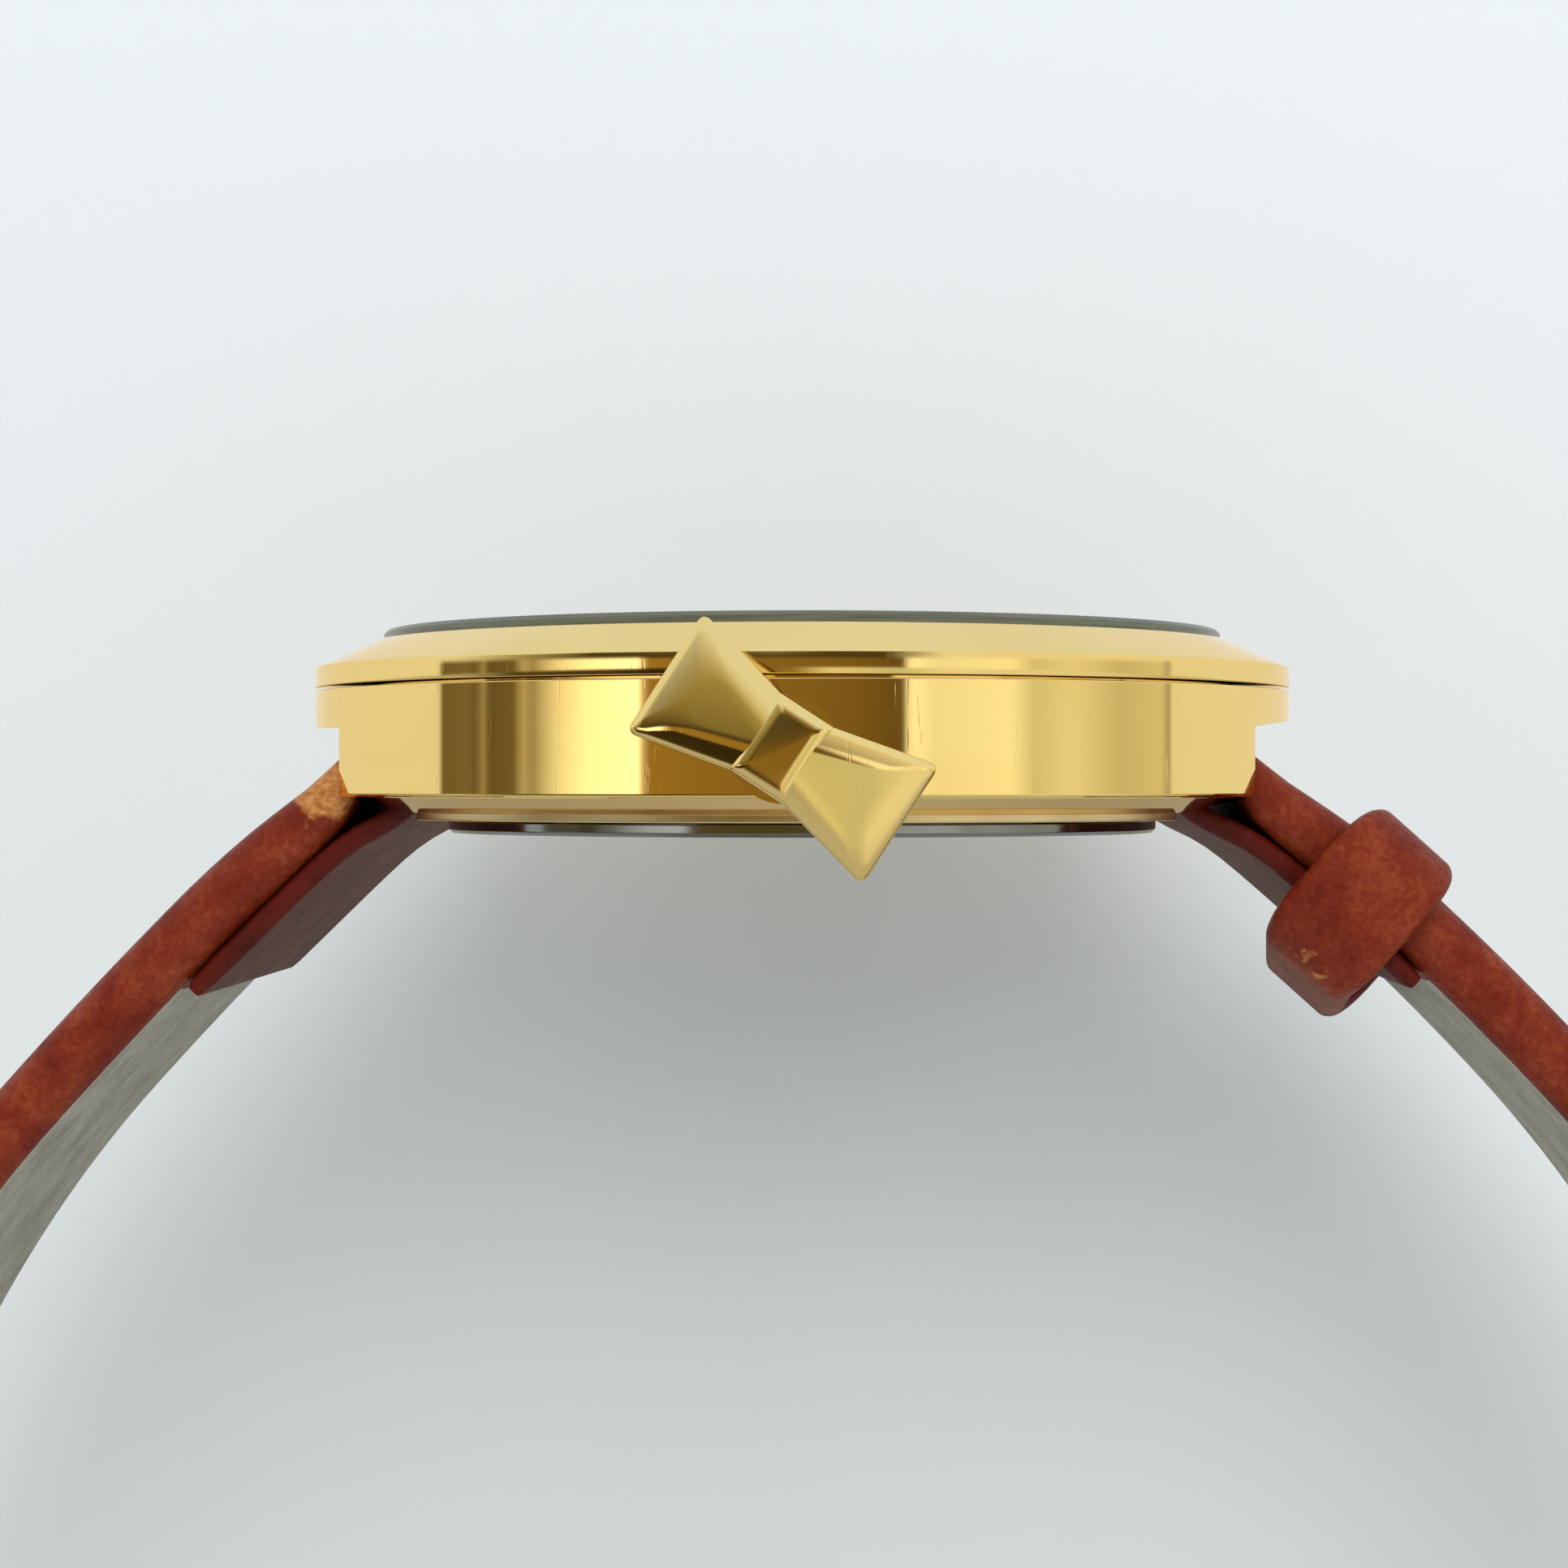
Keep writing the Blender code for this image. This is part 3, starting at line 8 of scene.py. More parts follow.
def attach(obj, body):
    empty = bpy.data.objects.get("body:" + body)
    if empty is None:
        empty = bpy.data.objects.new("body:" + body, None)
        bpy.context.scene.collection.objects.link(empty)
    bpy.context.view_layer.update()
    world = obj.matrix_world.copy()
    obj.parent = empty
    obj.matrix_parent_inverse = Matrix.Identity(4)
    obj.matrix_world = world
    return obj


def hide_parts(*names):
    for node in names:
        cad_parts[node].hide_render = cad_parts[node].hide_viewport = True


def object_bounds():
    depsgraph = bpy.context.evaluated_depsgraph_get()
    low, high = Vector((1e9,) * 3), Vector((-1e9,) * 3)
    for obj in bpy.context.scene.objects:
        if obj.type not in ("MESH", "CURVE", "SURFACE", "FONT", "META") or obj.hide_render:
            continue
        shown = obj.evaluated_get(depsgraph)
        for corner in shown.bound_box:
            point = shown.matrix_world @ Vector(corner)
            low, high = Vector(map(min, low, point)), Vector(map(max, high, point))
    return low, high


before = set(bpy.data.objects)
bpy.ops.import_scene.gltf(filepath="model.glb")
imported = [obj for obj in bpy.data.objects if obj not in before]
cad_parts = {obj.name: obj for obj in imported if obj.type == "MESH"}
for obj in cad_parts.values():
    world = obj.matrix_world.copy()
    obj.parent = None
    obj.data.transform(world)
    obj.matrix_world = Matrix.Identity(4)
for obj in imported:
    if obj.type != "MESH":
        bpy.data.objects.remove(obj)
cad_low, cad_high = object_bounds()
bpy.context.scene.view_settings.view_transform = "Standard"
MM = 0.001

# Movement: a quartz calibre of brass plates and wheels, steel arbors and levers, a wound coil, a
# circuit board and a steel battery, held under the dial by a moulded spacer ring. Every piece keeps
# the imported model's shape and gets the finish of the stock that it is cut from.


def add_node(tree, kind, values=None, **settings):
    """Add a node to a tree, with its own settings and plain values on its sockets."""
    node = tree.nodes.new(kind)
    for label, setting in settings.items():
        setattr(node, label, setting)
    for label, value in (values or {}).items():
        node.inputs[label].default_value = value
    return node


def wire(tree, *links):
    """Link nodes of a tree, each link given as (node, output, node, input)."""
    for source, output, target, socket in links:
        tree.links.new(source.outputs[output], target.inputs[socket])


def finish_material(name, values):
    """Start a node material: the material, its tree and its Principled shader with plain values."""
    material = bpy.data.materials.new(name)
    material.use_nodes = True
    shader = material.node_tree.nodes["Principled BSDF"]
    for label, value in values.items():
        shader.inputs[label].default_value = value
    return material, material.node_tree, shader


def value_group(name, inputs, outputs):
    """Start a shader node group on a Vector, with more named inputs and value outputs."""
    group = bpy.data.node_groups.new(name, "ShaderNodeTree")
    for label, kind in (("Vector", "Vector"), *inputs):
        group.interface.new_socket(label, in_out="INPUT", socket_type="NodeSocket" + kind)
    for label in outputs:
        group.interface.new_socket(label, in_out="OUTPUT", socket_type="NodeSocketFloat")
    return group, add_node(group, "NodeGroupInput"), add_node(group, "NodeGroupOutput")


def place_group(tree, group, values):
    """Put a node group in a material on its Object coordinates, with its own values."""
    node = add_node(tree, "ShaderNodeGroup", values, node_tree=group)
    wire(tree, (add_node(tree, "ShaderNodeTexCoord"), "Object", node, "Vector"))
    return node


def tint(tree, source, output, stops, target, socket):
    """Colour a socket by a value, through a ramp of (place, colour) stops."""
    ramp = add_node(tree, "ShaderNodeValToRGB")
    elements = ramp.color_ramp.elements
    elements[0].position = stops[0][0]
    elements[1].position = stops[-1][0]
    for place, _ in stops[1:-1]:
        elements.new(place)
    for element, (_, colour) in zip(elements, stops):
        element.color = (*colour, 1.0)
    wire(tree, (source, output, ramp, "Fac"), (ramp, "Color", target, socket))


def spread(tree, source, output, low, high, target, socket):
    """Drive a socket with a value stretched from low to high."""
    stretch = add_node(tree, "ShaderNodeMapRange", {"To Min": low, "To Max": high})
    wire(tree, (source, output, stretch, "Value"), (stretch, "Result", target, socket))


def vary(tree, source, output, stops, low, high, shader):
    """Drive a shader's colour, and its roughness from low to high, with one value."""
    tint(tree, source, output, stops, shader, "Base Color")
    spread(tree, source, output, low, high, shader, "Roughness")


drawn_lines, lines_in, lines_out = value_group("drawn_lines", [("Lines per metre", "Vector")], ["Lines"])
lines_scale = add_node(drawn_lines, "ShaderNodeVectorMath", operation="MULTIPLY")
lines_noise = add_node(drawn_lines, "ShaderNodeTexNoise", {"Scale": 1.0, "Detail": 3.0})
wire(
    drawn_lines,
    (lines_in, "Vector", lines_scale, 0),
    (lines_in, "Lines per metre", lines_scale, 1),
    (lines_scale, "Vector", lines_noise, "Vector"),
    (lines_noise, "Fac", lines_out, "Lines"),
)


def movement_finish(name, dark, light, metallic, roughness, lines_per_metre):
    """A stock with lines from rolling, drawing, winding or moulding."""
    material, tree, shader = finish_material(name, {"Metallic": metallic})
    lines = place_group(tree, drawn_lines, {"Lines per metre": lines_per_metre})
    vary(tree, lines, "Lines", ((0.3, dark), (0.7, light)), roughness * 0.7, roughness * 1.4, shader)
    return material


MOVEMENT_STOCK = {
    "movement_brass": ((0.60, 0.41, 0.15), (0.74, 0.54, 0.23), 1.0, 0.28, (9000.0, 500.0, 900.0)),
    "spring_steel": ((0.44, 0.44, 0.43), (0.62, 0.62, 0.60), 1.0, 0.22, (700.0, 700.0, 6000.0)),
    "coil_copper": ((0.45, 0.15, 0.06), (0.78, 0.36, 0.18), 1.0, 0.30, (1500.0, 9000.0, 1500.0)),
    "board_lacquer": ((0.010, 0.075, 0.030), (0.030, 0.150, 0.060), 0.0, 0.35, (2500.0, 2500.0, 900.0)),
    "ring_plastic": ((0.55, 0.54, 0.50), (0.66, 0.65, 0.61), 0.0, 0.50, (1800.0, 1800.0, 1800.0)),
    "seal_rubber": ((0.012, 0.012, 0.012), (0.030, 0.030, 0.030), 0.0, 0.65, (2600.0, 2600.0, 2600.0)),
}
MOVEMENT_PIECES = {
    "movement_brass": (
        "main_plate", "train_bridge", "fifth_wheel", "second_wheel", "third_wheel", "center_wheel",
        "minute_wheel", "hour_wheel",
    ),
    "spring_steel": (
        "battery", "battery_clamp", "rotor", "stator", "stem", "clutch_pinion", "setting_lever",
        "cannon_pinion", "crown_tube", "short_bar_tube", "short_bar_pin_crown_side",
        "short_bar_pin_far_side", "long_bar_tube", "long_bar_pin_crown_side", "long_bar_pin_far_side",
    ),
    "coil_copper": ("coil",),
    "board_lacquer": ("circuit_board",),
    "ring_plastic": ("movement_ring",),
    "seal_rubber": ("caseback_gasket", "crown_gasket", "crystal_gasket"),
}
stocks = {name: movement_finish(name, *finish) for name, finish in MOVEMENT_STOCK.items()}
for stock, node_names in MOVEMENT_PIECES.items():
    for node_name in node_names:
        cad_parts[node_name].material_slots[0].material = stocks[stock]

# Case middle: a round wall turned from brass and plated in polished yellow gold, with a bevelled foot
# that steps in to a thin satin lip. Two openings under the wall take the strap ends, their roofs
# flared outward to leave the leather room, and holes take the crown's tube and the spring bars' pins.
CASE_R = 17.0
CASE_TOP = 4.85
WALL_FOOT = 1.27
LIP_R = 14.8
LIP_TOP = 0.78
LIP_FOOT = 0.49
LIP_STEEPEST = 0.8
ROUND_FACE = 0.02
BACK_BORE_R = 12.0
BACK_BORE_TOP = 0.85
BORE_R = 11.45
DIAL_LEDGE = 4.0
DIAL_BORE_R = 14.4
RIM_R = 15.0
RIM_TOP = 5.45
SLOT_HALF = 8.1
SLOT_BACK = 11.8
SLOT_TOP = 3.5
FLARE_START = 14.4
FLARE_BEND = 16.4
FLARE_END = 17.1
SHORT_FLARE = 0.28
LONG_FLARE = 0.06
RIM_FLARE = 0.22
MOUTH_END = 20.0
MOUTH_LOW = -3.0
STEM_Z = 2.7
TUBE_HOLE_R = 0.9
TUBE_HOLE_SPAN = (10.0, 18.0)
BAR_X = 13.5
BAR_Z = 1.85
PIN_HOLE_R = 0.45
PIN_HOLE_SPAN = (7.0, 8.9)
GOLD = (0.960, 0.720, 0.270)
GOLD_DEEP = (0.930, 0.670, 0.230)
GOLD_EDGE = (1.0, 0.93, 0.80)
SATIN_GOLD = (0.830, 0.665, 0.380)
SATIN_DEEP = (0.720, 0.560, 0.300)
HAIRLINE_STRENGTH = 0.12
HAIRLINE_DEPTH = 0.000004


def eased(corners, steps=5):
    """A closed outline whose corners (x, y, radius) are rounded with arcs."""
    outline = []
    for count, (x, y, radius) in enumerate(corners):
        corner = Vector((x, y))
        if radius == 0.0:
            outline.append(corner)
            continue
        back = (Vector(corners[count - 1][:2]) - corner).normalized()
        onward = (Vector(corners[(count + 1) % len(corners)][:2]) - corner).normalized()
        half = back.angle(onward) / 2
        centre = corner + (back + onward).normalized() * (radius / math.sin(half))
        first = corner + back * (radius / math.tan(half)) - centre
        last = corner + onward * (radius / math.tan(half)) - centre
        sweep = first.angle(last)
        for step in range(steps + 1):
            share = step / steps
            arm = first * math.sin((1 - share) * sweep) + last * math.sin(share * sweep)
            outline.append(centre + arm / math.sin(sweep))
    return outline


def turned_body(outline, steps):
    """Turn a closed outline of (radius, height) round the Z axis."""
    bm = bmesh.new()
    rings = []
    for radius, height in outline:
        turns = [2 * math.pi * step / steps for step in range(steps if radius > 1e-6 else 1)]
        rings.append([bm.verts.new((radius * math.cos(a), radius * math.sin(a), height)) for a in turns])
    for low, high in zip(rings, rings[1:] + rings[:1]):
        for step in range(steps):
            after = (step + 1) % steps
            corners = (low[step % len(low)], low[after % len(low)])
            corners += (high[after % len(high)], high[step % len(high)])
            face = list(dict.fromkeys(corners))
            if len(face) > 2:
                bm.faces.new(face)
    return bm


def rod(radius, low, high, steps):
    """A plain round rod along the Z axis."""
    return turned_body([(0.0, low), (radius, low), (radius, high), (0.0, high)], steps)


def stack_loops(bm, loops, ring=False):
    """Join loops of points with faces, to a ring or with both ends closed."""
    stack = [[bm.verts.new(point) for point in loop] for loop in loops]
    for low, high in zip(stack, stack[1:] + stack[:1] if ring else stack[1:]):
        for point in range(len(low)):
            after = (point + 1) % len(low)
            bm.faces.new((low[point], low[after], high[after], high[point]))
    if not ring:
        bm.faces.new(stack[0])
        bm.faces.new(stack[-1])
    return bm


def moved(bm, matrix):
    """Move a body in the making to its place."""
    bmesh.ops.transform(bm, matrix=matrix, verts=bm.verts)
    return bm


def add_object(name, data):
    """Put an object with its data in the scene."""
    made = bpy.data.objects.new(name, data)
    bpy.context.scene.collection.objects.link(made)
    return made


def make_piece(name, bm, material, sharpest=32.0):
    """A finished mesh object at the origin, in metres, smooth up to an edge angle in degrees."""
    bmesh.ops.recalc_face_normals(bm, faces=bm.faces)
    bmesh.ops.scale(bm, vec=(MM, MM, MM), verts=bm.verts)
    for face in bm.faces:
        face.smooth = True
    for edge in bm.edges:
        edge.smooth = edge.calc_face_angle(0.0) < math.radians(sharpest)
    mesh = bpy.data.meshes.new(name)
    bm.to_mesh(mesh)
    bm.free()
    mesh.materials.append(material)
    return add_object(name, mesh)


def turned_piece(name, corners, steps, material):
    """A finished piece turned from an outline of eased corners."""
    return make_piece(name, turned_body(eased(corners), steps), material)


def settle(piece):
    """Apply a piece's modifiers, so that it is a plain mesh."""
    shown = piece.evaluated_get(bpy.context.evaluated_depsgraph_get())
    mesh = bpy.data.meshes.new_from_object(shown)
    piece.modifiers.clear()
    piece.data = mesh


def cut_away(piece, bm):
    """Cut one closed body out of a piece."""
    cutter = make_piece("cutter", bm, piece.data.materials[0])
    cut = piece.modifiers.new("opening", "BOOLEAN")
    cut.operation = "DIFFERENCE"
    cut.solver = "EXACT"
    cut.object = cutter
    settle(piece)
    bpy.data.objects.remove(cutter)


def shade_as_turned(piece):
    """Give the turned faces of a cut piece the exact normals of their cones and cylinders."""
    mesh = piece.data
    normals = [None] * len(mesh.loops)
    for polygon in mesh.polygons:
        out = Vector((polygon.center.x, polygon.center.y, 0.0)).normalized()
        round_face = abs(polygon.normal.dot(Vector((-out.y, out.x, 0.0)))) < ROUND_FACE
        for loop in polygon.loop_indices:
            spot = mesh.vertices[mesh.loops[loop].vertex_index].co
            here = Vector((spot.x, spot.y, 0.0)).normalized()
            turned = here * polygon.normal.dot(out) + Vector((0.0, 0.0, polygon.normal.z))
            normals[loop] = turned.normalized() if round_face else polygon.normal
    mesh.normals_split_custom_set(normals)


def fit_piece(piece, node, body):
    """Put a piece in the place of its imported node, on the body that carries it."""
    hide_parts(node)
    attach(piece, body)


def emboss(tree, source, output, shader, strength, depth, sunk):
    """Raise or sink a finish's surface by a value."""
    bump = add_node(tree, "ShaderNodeBump", {"Strength": strength, "Distance": depth}, invert=sunk)
    wire(tree, (source, output, bump, "Height"), (bump, "Normal", shader, "Normal"))


hand_marks, marks_in, marks_out = value_group(
    "hand_marks", [("Smears per metre", "Float")], ["Smears", "Hairlines"]
)
smear_noise = add_node(hand_marks, "ShaderNodeTexNoise", {"Detail": 4.0, "Distortion": 0.6})
hair_lie = {"Rotation": (0.5, 0.6, 0.4), "Scale": (9000.0, 420.0, 700.0)}
hair_turn = add_node(hand_marks, "ShaderNodeMapping", hair_lie)
hair_noise = add_node(hand_marks, "ShaderNodeTexNoise", {"Scale": 1.0, "Detail": 1.0})
hair_mask = add_node(hand_marks, "ShaderNodeMapRange", {"From Min": 0.66, "From Max": 0.74})
wire(
    hand_marks,
    (marks_in, "Vector", smear_noise, "Vector"),
    (marks_in, "Smears per metre", smear_noise, "Scale"),
    (marks_in, "Vector", hair_turn, "Vector"),
    (hair_turn, "Vector", hair_noise, "Vector"),
    (hair_noise, "Fac", hair_mask, "Value"),
    (smear_noise, "Fac", marks_out, "Smears"),
    (hair_mask, "Result", marks_out, "Hairlines"),
)


def gold_plate(name, colour, deep, smoothest, dullest, smears):
    """Gold plate with the faint smears and hairlines of wear."""
    plain = {"Metallic": 1.0, "Specular Tint": (*GOLD_EDGE, 1.0)}
    material, tree, shader = finish_material(name, plain)
    marks = place_group(tree, hand_marks, {"Smears per metre": smears})
    vary(tree, marks, "Smears", ((0.35, deep), (0.65, colour)), smoothest, dullest, shader)
    emboss(tree, marks, "Hairlines", shader, HAIRLINE_STRENGTH, HAIRLINE_DEPTH, True)
    return material


case_gold = gold_plate("case_gold", GOLD, GOLD_DEEP, smoothest=0.025, dullest=0.075, smears=160.0)
lip_gold = gold_plate("lip_gold", SATIN_GOLD, SATIN_DEEP, smoothest=0.30, dullest=0.42, smears=600.0)
case_corners = [
    (CASE_R, CASE_TOP, 0.04),
    (CASE_R, WALL_FOOT, 0.14),
    (LIP_R + 0.2, LIP_TOP, 0.1),
    (LIP_R, LIP_TOP - 0.04, 0.02),
    (LIP_R, LIP_FOOT, 0.06),
    (BACK_BORE_R, LIP_FOOT, 0.04),
    (BACK_BORE_R, BACK_BORE_TOP, 0.0),
    (BORE_R, BACK_BORE_TOP, 0.0),
    (BORE_R, DIAL_LEDGE, 0.0),
    (DIAL_BORE_R, DIAL_LEDGE, 0.0),
    (DIAL_BORE_R, RIM_TOP, 0.03),
    (RIM_R, RIM_TOP, 0.03),
    (RIM_R, CASE_TOP, 0.0),
]
case_wall = turned_piece("case_wall", case_corners, 288, case_gold)
for side, flare in ((1, SHORT_FLARE), (-1, LONG_FLARE)):
    roof = SLOT_TOP + flare
    mouth = eased(
        [
            (side * SLOT_BACK, MOUTH_LOW, 0.0),
            (side * SLOT_BACK, SLOT_TOP, 0.6),
            (side * FLARE_START, SLOT_TOP, 0.3),
            (side * FLARE_BEND, roof, 0.3),
            (side * FLARE_END, roof + RIM_FLARE, 0.0),
            (side * MOUTH_END, roof + RIM_FLARE, 0.0),
            (side * MOUTH_END, MOUTH_LOW, 0.0),
        ]
    )
    mouth_ends = [[(x, across, z) for x, z in mouth] for across in (-SLOT_HALF, SLOT_HALF)]
    cut_away(case_wall, stack_loops(bmesh.new(), mouth_ends))
along_stem = Matrix.Translation((0.0, 0.0, STEM_Z)) @ Matrix.Rotation(math.radians(90.0), 4, "X")
cut_away(case_wall, moved(rod(TUBE_HOLE_R, *TUBE_HOLE_SPAN, 32), along_stem))
for side in (1, -1):
    for end in (1, -1):
        lie_down = Matrix.Rotation(math.radians(90.0 * end), 4, "X")
        pin_place = Matrix.Translation((side * BAR_X, 0.0, BAR_Z)) @ lie_down
        cut_away(case_wall, moved(rod(PIN_HOLE_R, *PIN_HOLE_SPAN, 24), pin_place))
shade_as_turned(case_wall)
case_wall.data.materials.append(lip_gold)
for polygon in case_wall.data.polygons:
    if polygon.center.z < LIP_TOP * MM and abs(polygon.normal.z) < LIP_STEEPEST:
        polygon.material_index = len(case_wall.data.materials) - 1
fit_piece(case_wall, "case_middle", "case")

# Caseback: a steel cover snapped into the case from below, brushed in rings on a lathe, with a small
# bevel round its edge and a notch for the case knife.
BACK_R = 12.4
BACK_RIM = 0.40
SNAP_R = 11.4
SNAP_TOP = 1.1
SNAP_WALL = 0.5
BACK_FLOOR = 0.60
NOTCH_HALF = 1.1
NOTCH_LOW = (-NOTCH_HALF, BACK_R - 0.35, 0.2)
NOTCH_HIGH = (NOTCH_HALF, BACK_R + 1.0, 1.0)
# The steel's two tones are set darker than bare steel. Partly this is the steel's colour with its lathe
# rings, and partly it is painted shade for the dark room that its rim reflects.
BACK_STEEL_SHADED_DARK = (0.17, 0.178, 0.165)
BACK_STEEL_SHADED_PALE = (0.38, 0.39, 0.37)

lathe_rings, rings_in, rings_out = value_group("lathe_rings", [("Rings per metre", "Float")], ["Rings"])
ring_flat = add_node(lathe_rings, "ShaderNodeVectorMath", {1: (1.0, 1.0, 0.0)}, operation="MULTIPLY")
ring_radius = add_node(lathe_rings, "ShaderNodeVectorMath", operation="LENGTH")
ring_noise = add_node(lathe_rings, "ShaderNodeTexNoise", {"Detail": 4.0}, noise_dimensions="1D")
wire(
    lathe_rings,
    (rings_in, "Vector", ring_flat, 0),
    (ring_flat, "Vector", ring_radius, 0),
    (ring_radius, "Value", ring_noise, "W"),
    (rings_in, "Rings per metre", ring_noise, "Scale"),
    (ring_noise, "Fac", rings_out, "Rings"),
)
shaded_back_steel, back_tree, back_shader = finish_material("shaded_back_steel", {"Metallic": 1.0})
back_rings = place_group(back_tree, lathe_rings, {"Rings per metre": 14000.0})
back_stops = ((0.3, BACK_STEEL_SHADED_DARK), (0.7, BACK_STEEL_SHADED_PALE))
vary(back_tree, back_rings, "Rings", back_stops, 0.06, 0.20, back_shader)

back_corners = [
    (0.0, 0.0, 0.0),
    (BACK_R - 0.15, 0.0, 0.05),
    (BACK_R, 0.12, 0.05),
    (BACK_R, BACK_RIM, 0.03),
    (SNAP_R, BACK_RIM, 0.0),
    (SNAP_R, SNAP_TOP, 0.05),
    (SNAP_R - SNAP_WALL, SNAP_TOP, 0.05),
    (SNAP_R - SNAP_WALL, BACK_FLOOR, 0.0),
    (0.0, BACK_FLOOR, 0.0),
]
back_cover = turned_piece("back_cover", back_corners, 192, shaded_back_steel)


def block(low, high):
    """A plain closed box between two corners."""
    bm = bmesh.new()
    bmesh.ops.create_cube(bm, size=1.0)
    for vert in bm.verts:
        vert.co = [high[axis] if vert.co[axis] > 0 else low[axis] for axis in range(3)]
    return bm


cut_away(back_cover, block(NOTCH_LOW, NOTCH_HIGH))
shade_as_turned(back_cover)
fit_piece(back_cover, "caseback", "case")

# Dial: a brass disc with a fine sunray brush under pale lacquer, on two feet. Twelve gold bars are
# applied by pins, and sixty short minute strokes are printed round them.
DIAL_R = 14.3
DIAL_HOLE_R = 0.8
DIAL_LOW = 4.05
DIAL_HIGH = 4.45
FOOT_AT = 7.6
FOOT_ANGLE = 36.0
FOOT_R = 0.3
FOOT_TIP_R = FOOT_R * 0.8
FOOT_LOW = 3.1
MARKER_OUTER = 12.6
MARKER_LOW = DIAL_HIGH - 0.05
MARKER_TOP = DIAL_HIGH + 0.15
MARKER_EDGE = 0.05
STROKE_OUTER = 13.0
STROKE_LOW = DIAL_HIGH - 0.02
STROKE_TOP = DIAL_HIGH + 0.006
DIAL_PALE = (0.80, 0.78, 0.72)
DIAL_SILVER = (0.64, 0.62, 0.56)
STROKE_BLACK = (0.015, 0.014, 0.013)
STROKE_GREY = (0.03, 0.028, 0.026)

dial_lacquer, dial_tree, dial_shader = finish_material(
    "dial_lacquer", {"Metallic": 0.25, "Coat Weight": 0.6, "Coat Roughness": 0.08}
)
dial_coords = add_node(dial_tree, "ShaderNodeTexCoord")
dial_split = add_node(dial_tree, "ShaderNodeSeparateXYZ")
dial_angle = add_node(dial_tree, "ShaderNodeMath", operation="ARCTAN2")
sunray = add_node(dial_tree, "ShaderNodeTexNoise", {"Scale": 90.0, "Detail": 5.0}, noise_dimensions="1D")
wire(
    dial_tree,
    (dial_coords, "Object", dial_split, 0),
    (dial_split, "Y", dial_angle, 0),
    (dial_split, "X", dial_angle, 1),
    (dial_angle, "Value", sunray, "W"),
)
vary(dial_tree, sunray, "Fac", ((0.25, DIAL_SILVER), (0.75, DIAL_PALE)), 0.25, 0.45, dial_shader)

dial_corners = [
    (DIAL_HOLE_R, DIAL_LOW, 0.0),
    (DIAL_R, DIAL_LOW, 0.0),
    (DIAL_R, DIAL_HIGH, 0.04),
    (DIAL_HOLE_R, DIAL_HIGH, 0.04),
]
dial_body = turned_body(eased(dial_corners), 160)
for foot_turn in (FOOT_ANGLE, FOOT_ANGLE + 180.0):
    foot_x = FOOT_AT * math.cos(math.radians(foot_turn))
    foot_y = FOOT_AT * math.sin(math.radians(foot_turn))
    bmesh.ops.create_cone(
        dial_body,
        cap_ends=True,
        segments=20,
        radius1=FOOT_TIP_R,
        radius2=FOOT_R,
        depth=DIAL_LOW - FOOT_LOW,
        matrix=Matrix.Translation((foot_x, foot_y, (DIAL_LOW + FOOT_LOW) / 2)),
    )
dial_disc = make_piece("dial_disc", dial_body, dial_lacquer)
fit_piece(dial_disc, "dial", "case")

ring_of_bars = bpy.data.node_groups.new("ring_of_bars", "GeometryNodeTree")
bar_sockets = {}
for label, kind in (
    ("Count", "NodeSocketInt"),
    ("Circle radius", "NodeSocketFloat"),
    ("Bar size", "NodeSocketVector"),
    ("Bar height", "NodeSocketFloat"),
    ("Finish", "NodeSocketMaterial"),
):
    socket = ring_of_bars.interface.new_socket(label, in_out="INPUT", socket_type=kind)
    bar_sockets[label] = socket.identifier
ring_of_bars.interface.new_socket("Bars", in_out="OUTPUT", socket_type="NodeSocketGeometry")
bars_in = add_node(ring_of_bars, "NodeGroupInput")
bars_out = add_node(ring_of_bars, "NodeGroupOutput")
bars_circle = add_node(ring_of_bars, "GeometryNodeMeshCircle")
bars_cube = add_node(ring_of_bars, "GeometryNodeMeshCube")
bars_lift = add_node(ring_of_bars, "ShaderNodeCombineXYZ")
bars_raise = add_node(ring_of_bars, "GeometryNodeSetPosition")
bars_place = add_node(ring_of_bars, "GeometryNodeInputPosition")
bars_aim = add_node(ring_of_bars, "FunctionNodeAlignRotationToVector", axis="X", pivot_axis="Z")
bars_copy = add_node(ring_of_bars, "GeometryNodeInstanceOnPoints")
bars_real = add_node(ring_of_bars, "GeometryNodeRealizeInstances")
bars_finish = add_node(ring_of_bars, "GeometryNodeSetMaterial")
wire(
    ring_of_bars,
    (bars_in, "Count", bars_circle, "Vertices"),
    (bars_in, "Circle radius", bars_circle, "Radius"),
    (bars_in, "Bar size", bars_cube, "Size"),
    (bars_in, "Bar height", bars_lift, "Z"),
    (bars_circle, "Mesh", bars_raise, "Geometry"),
    (bars_lift, "Vector", bars_raise, "Offset"),
    (bars_raise, "Geometry", bars_copy, "Points"),
    (bars_cube, "Mesh", bars_copy, "Instance"),
    (bars_place, "Position", bars_aim, "Vector"),
    (bars_aim, "Rotation", bars_copy, "Rotation"),
    (bars_copy, "Instances", bars_real, "Geometry"),
    (bars_real, "Geometry", bars_finish, "Geometry"),
    (bars_in, "Finish", bars_finish, "Material"),
    (bars_finish, "Geometry", bars_out, "Bars"),
)


def bars_round_dial(name, count, outer, length, width, low, high, edge, material):
    """A ring of like bars, pointing at the dial's centre, as one plain mesh."""
    made = add_object(name, bpy.data.meshes.new(name))
    bars = made.modifiers.new("bars", "NODES")
    bars.node_group = ring_of_bars
    bars[bar_sockets["Count"]] = count
    bars[bar_sockets["Circle radius"]] = (outer - length / 2) * MM
    bars[bar_sockets["Bar size"]] = (length * MM, width * MM, (high - low) * MM)
    bars[bar_sockets["Bar height"]] = (low + high) / 2 * MM
    bars[bar_sockets["Finish"]] = material
    settle(made)
    if edge:
        eased_edge = made.modifiers.new("eased_edge", "BEVEL")
        eased_edge.width = edge * MM
        eased_edge.segments = 2
        settle(made)
    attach(made, "case")


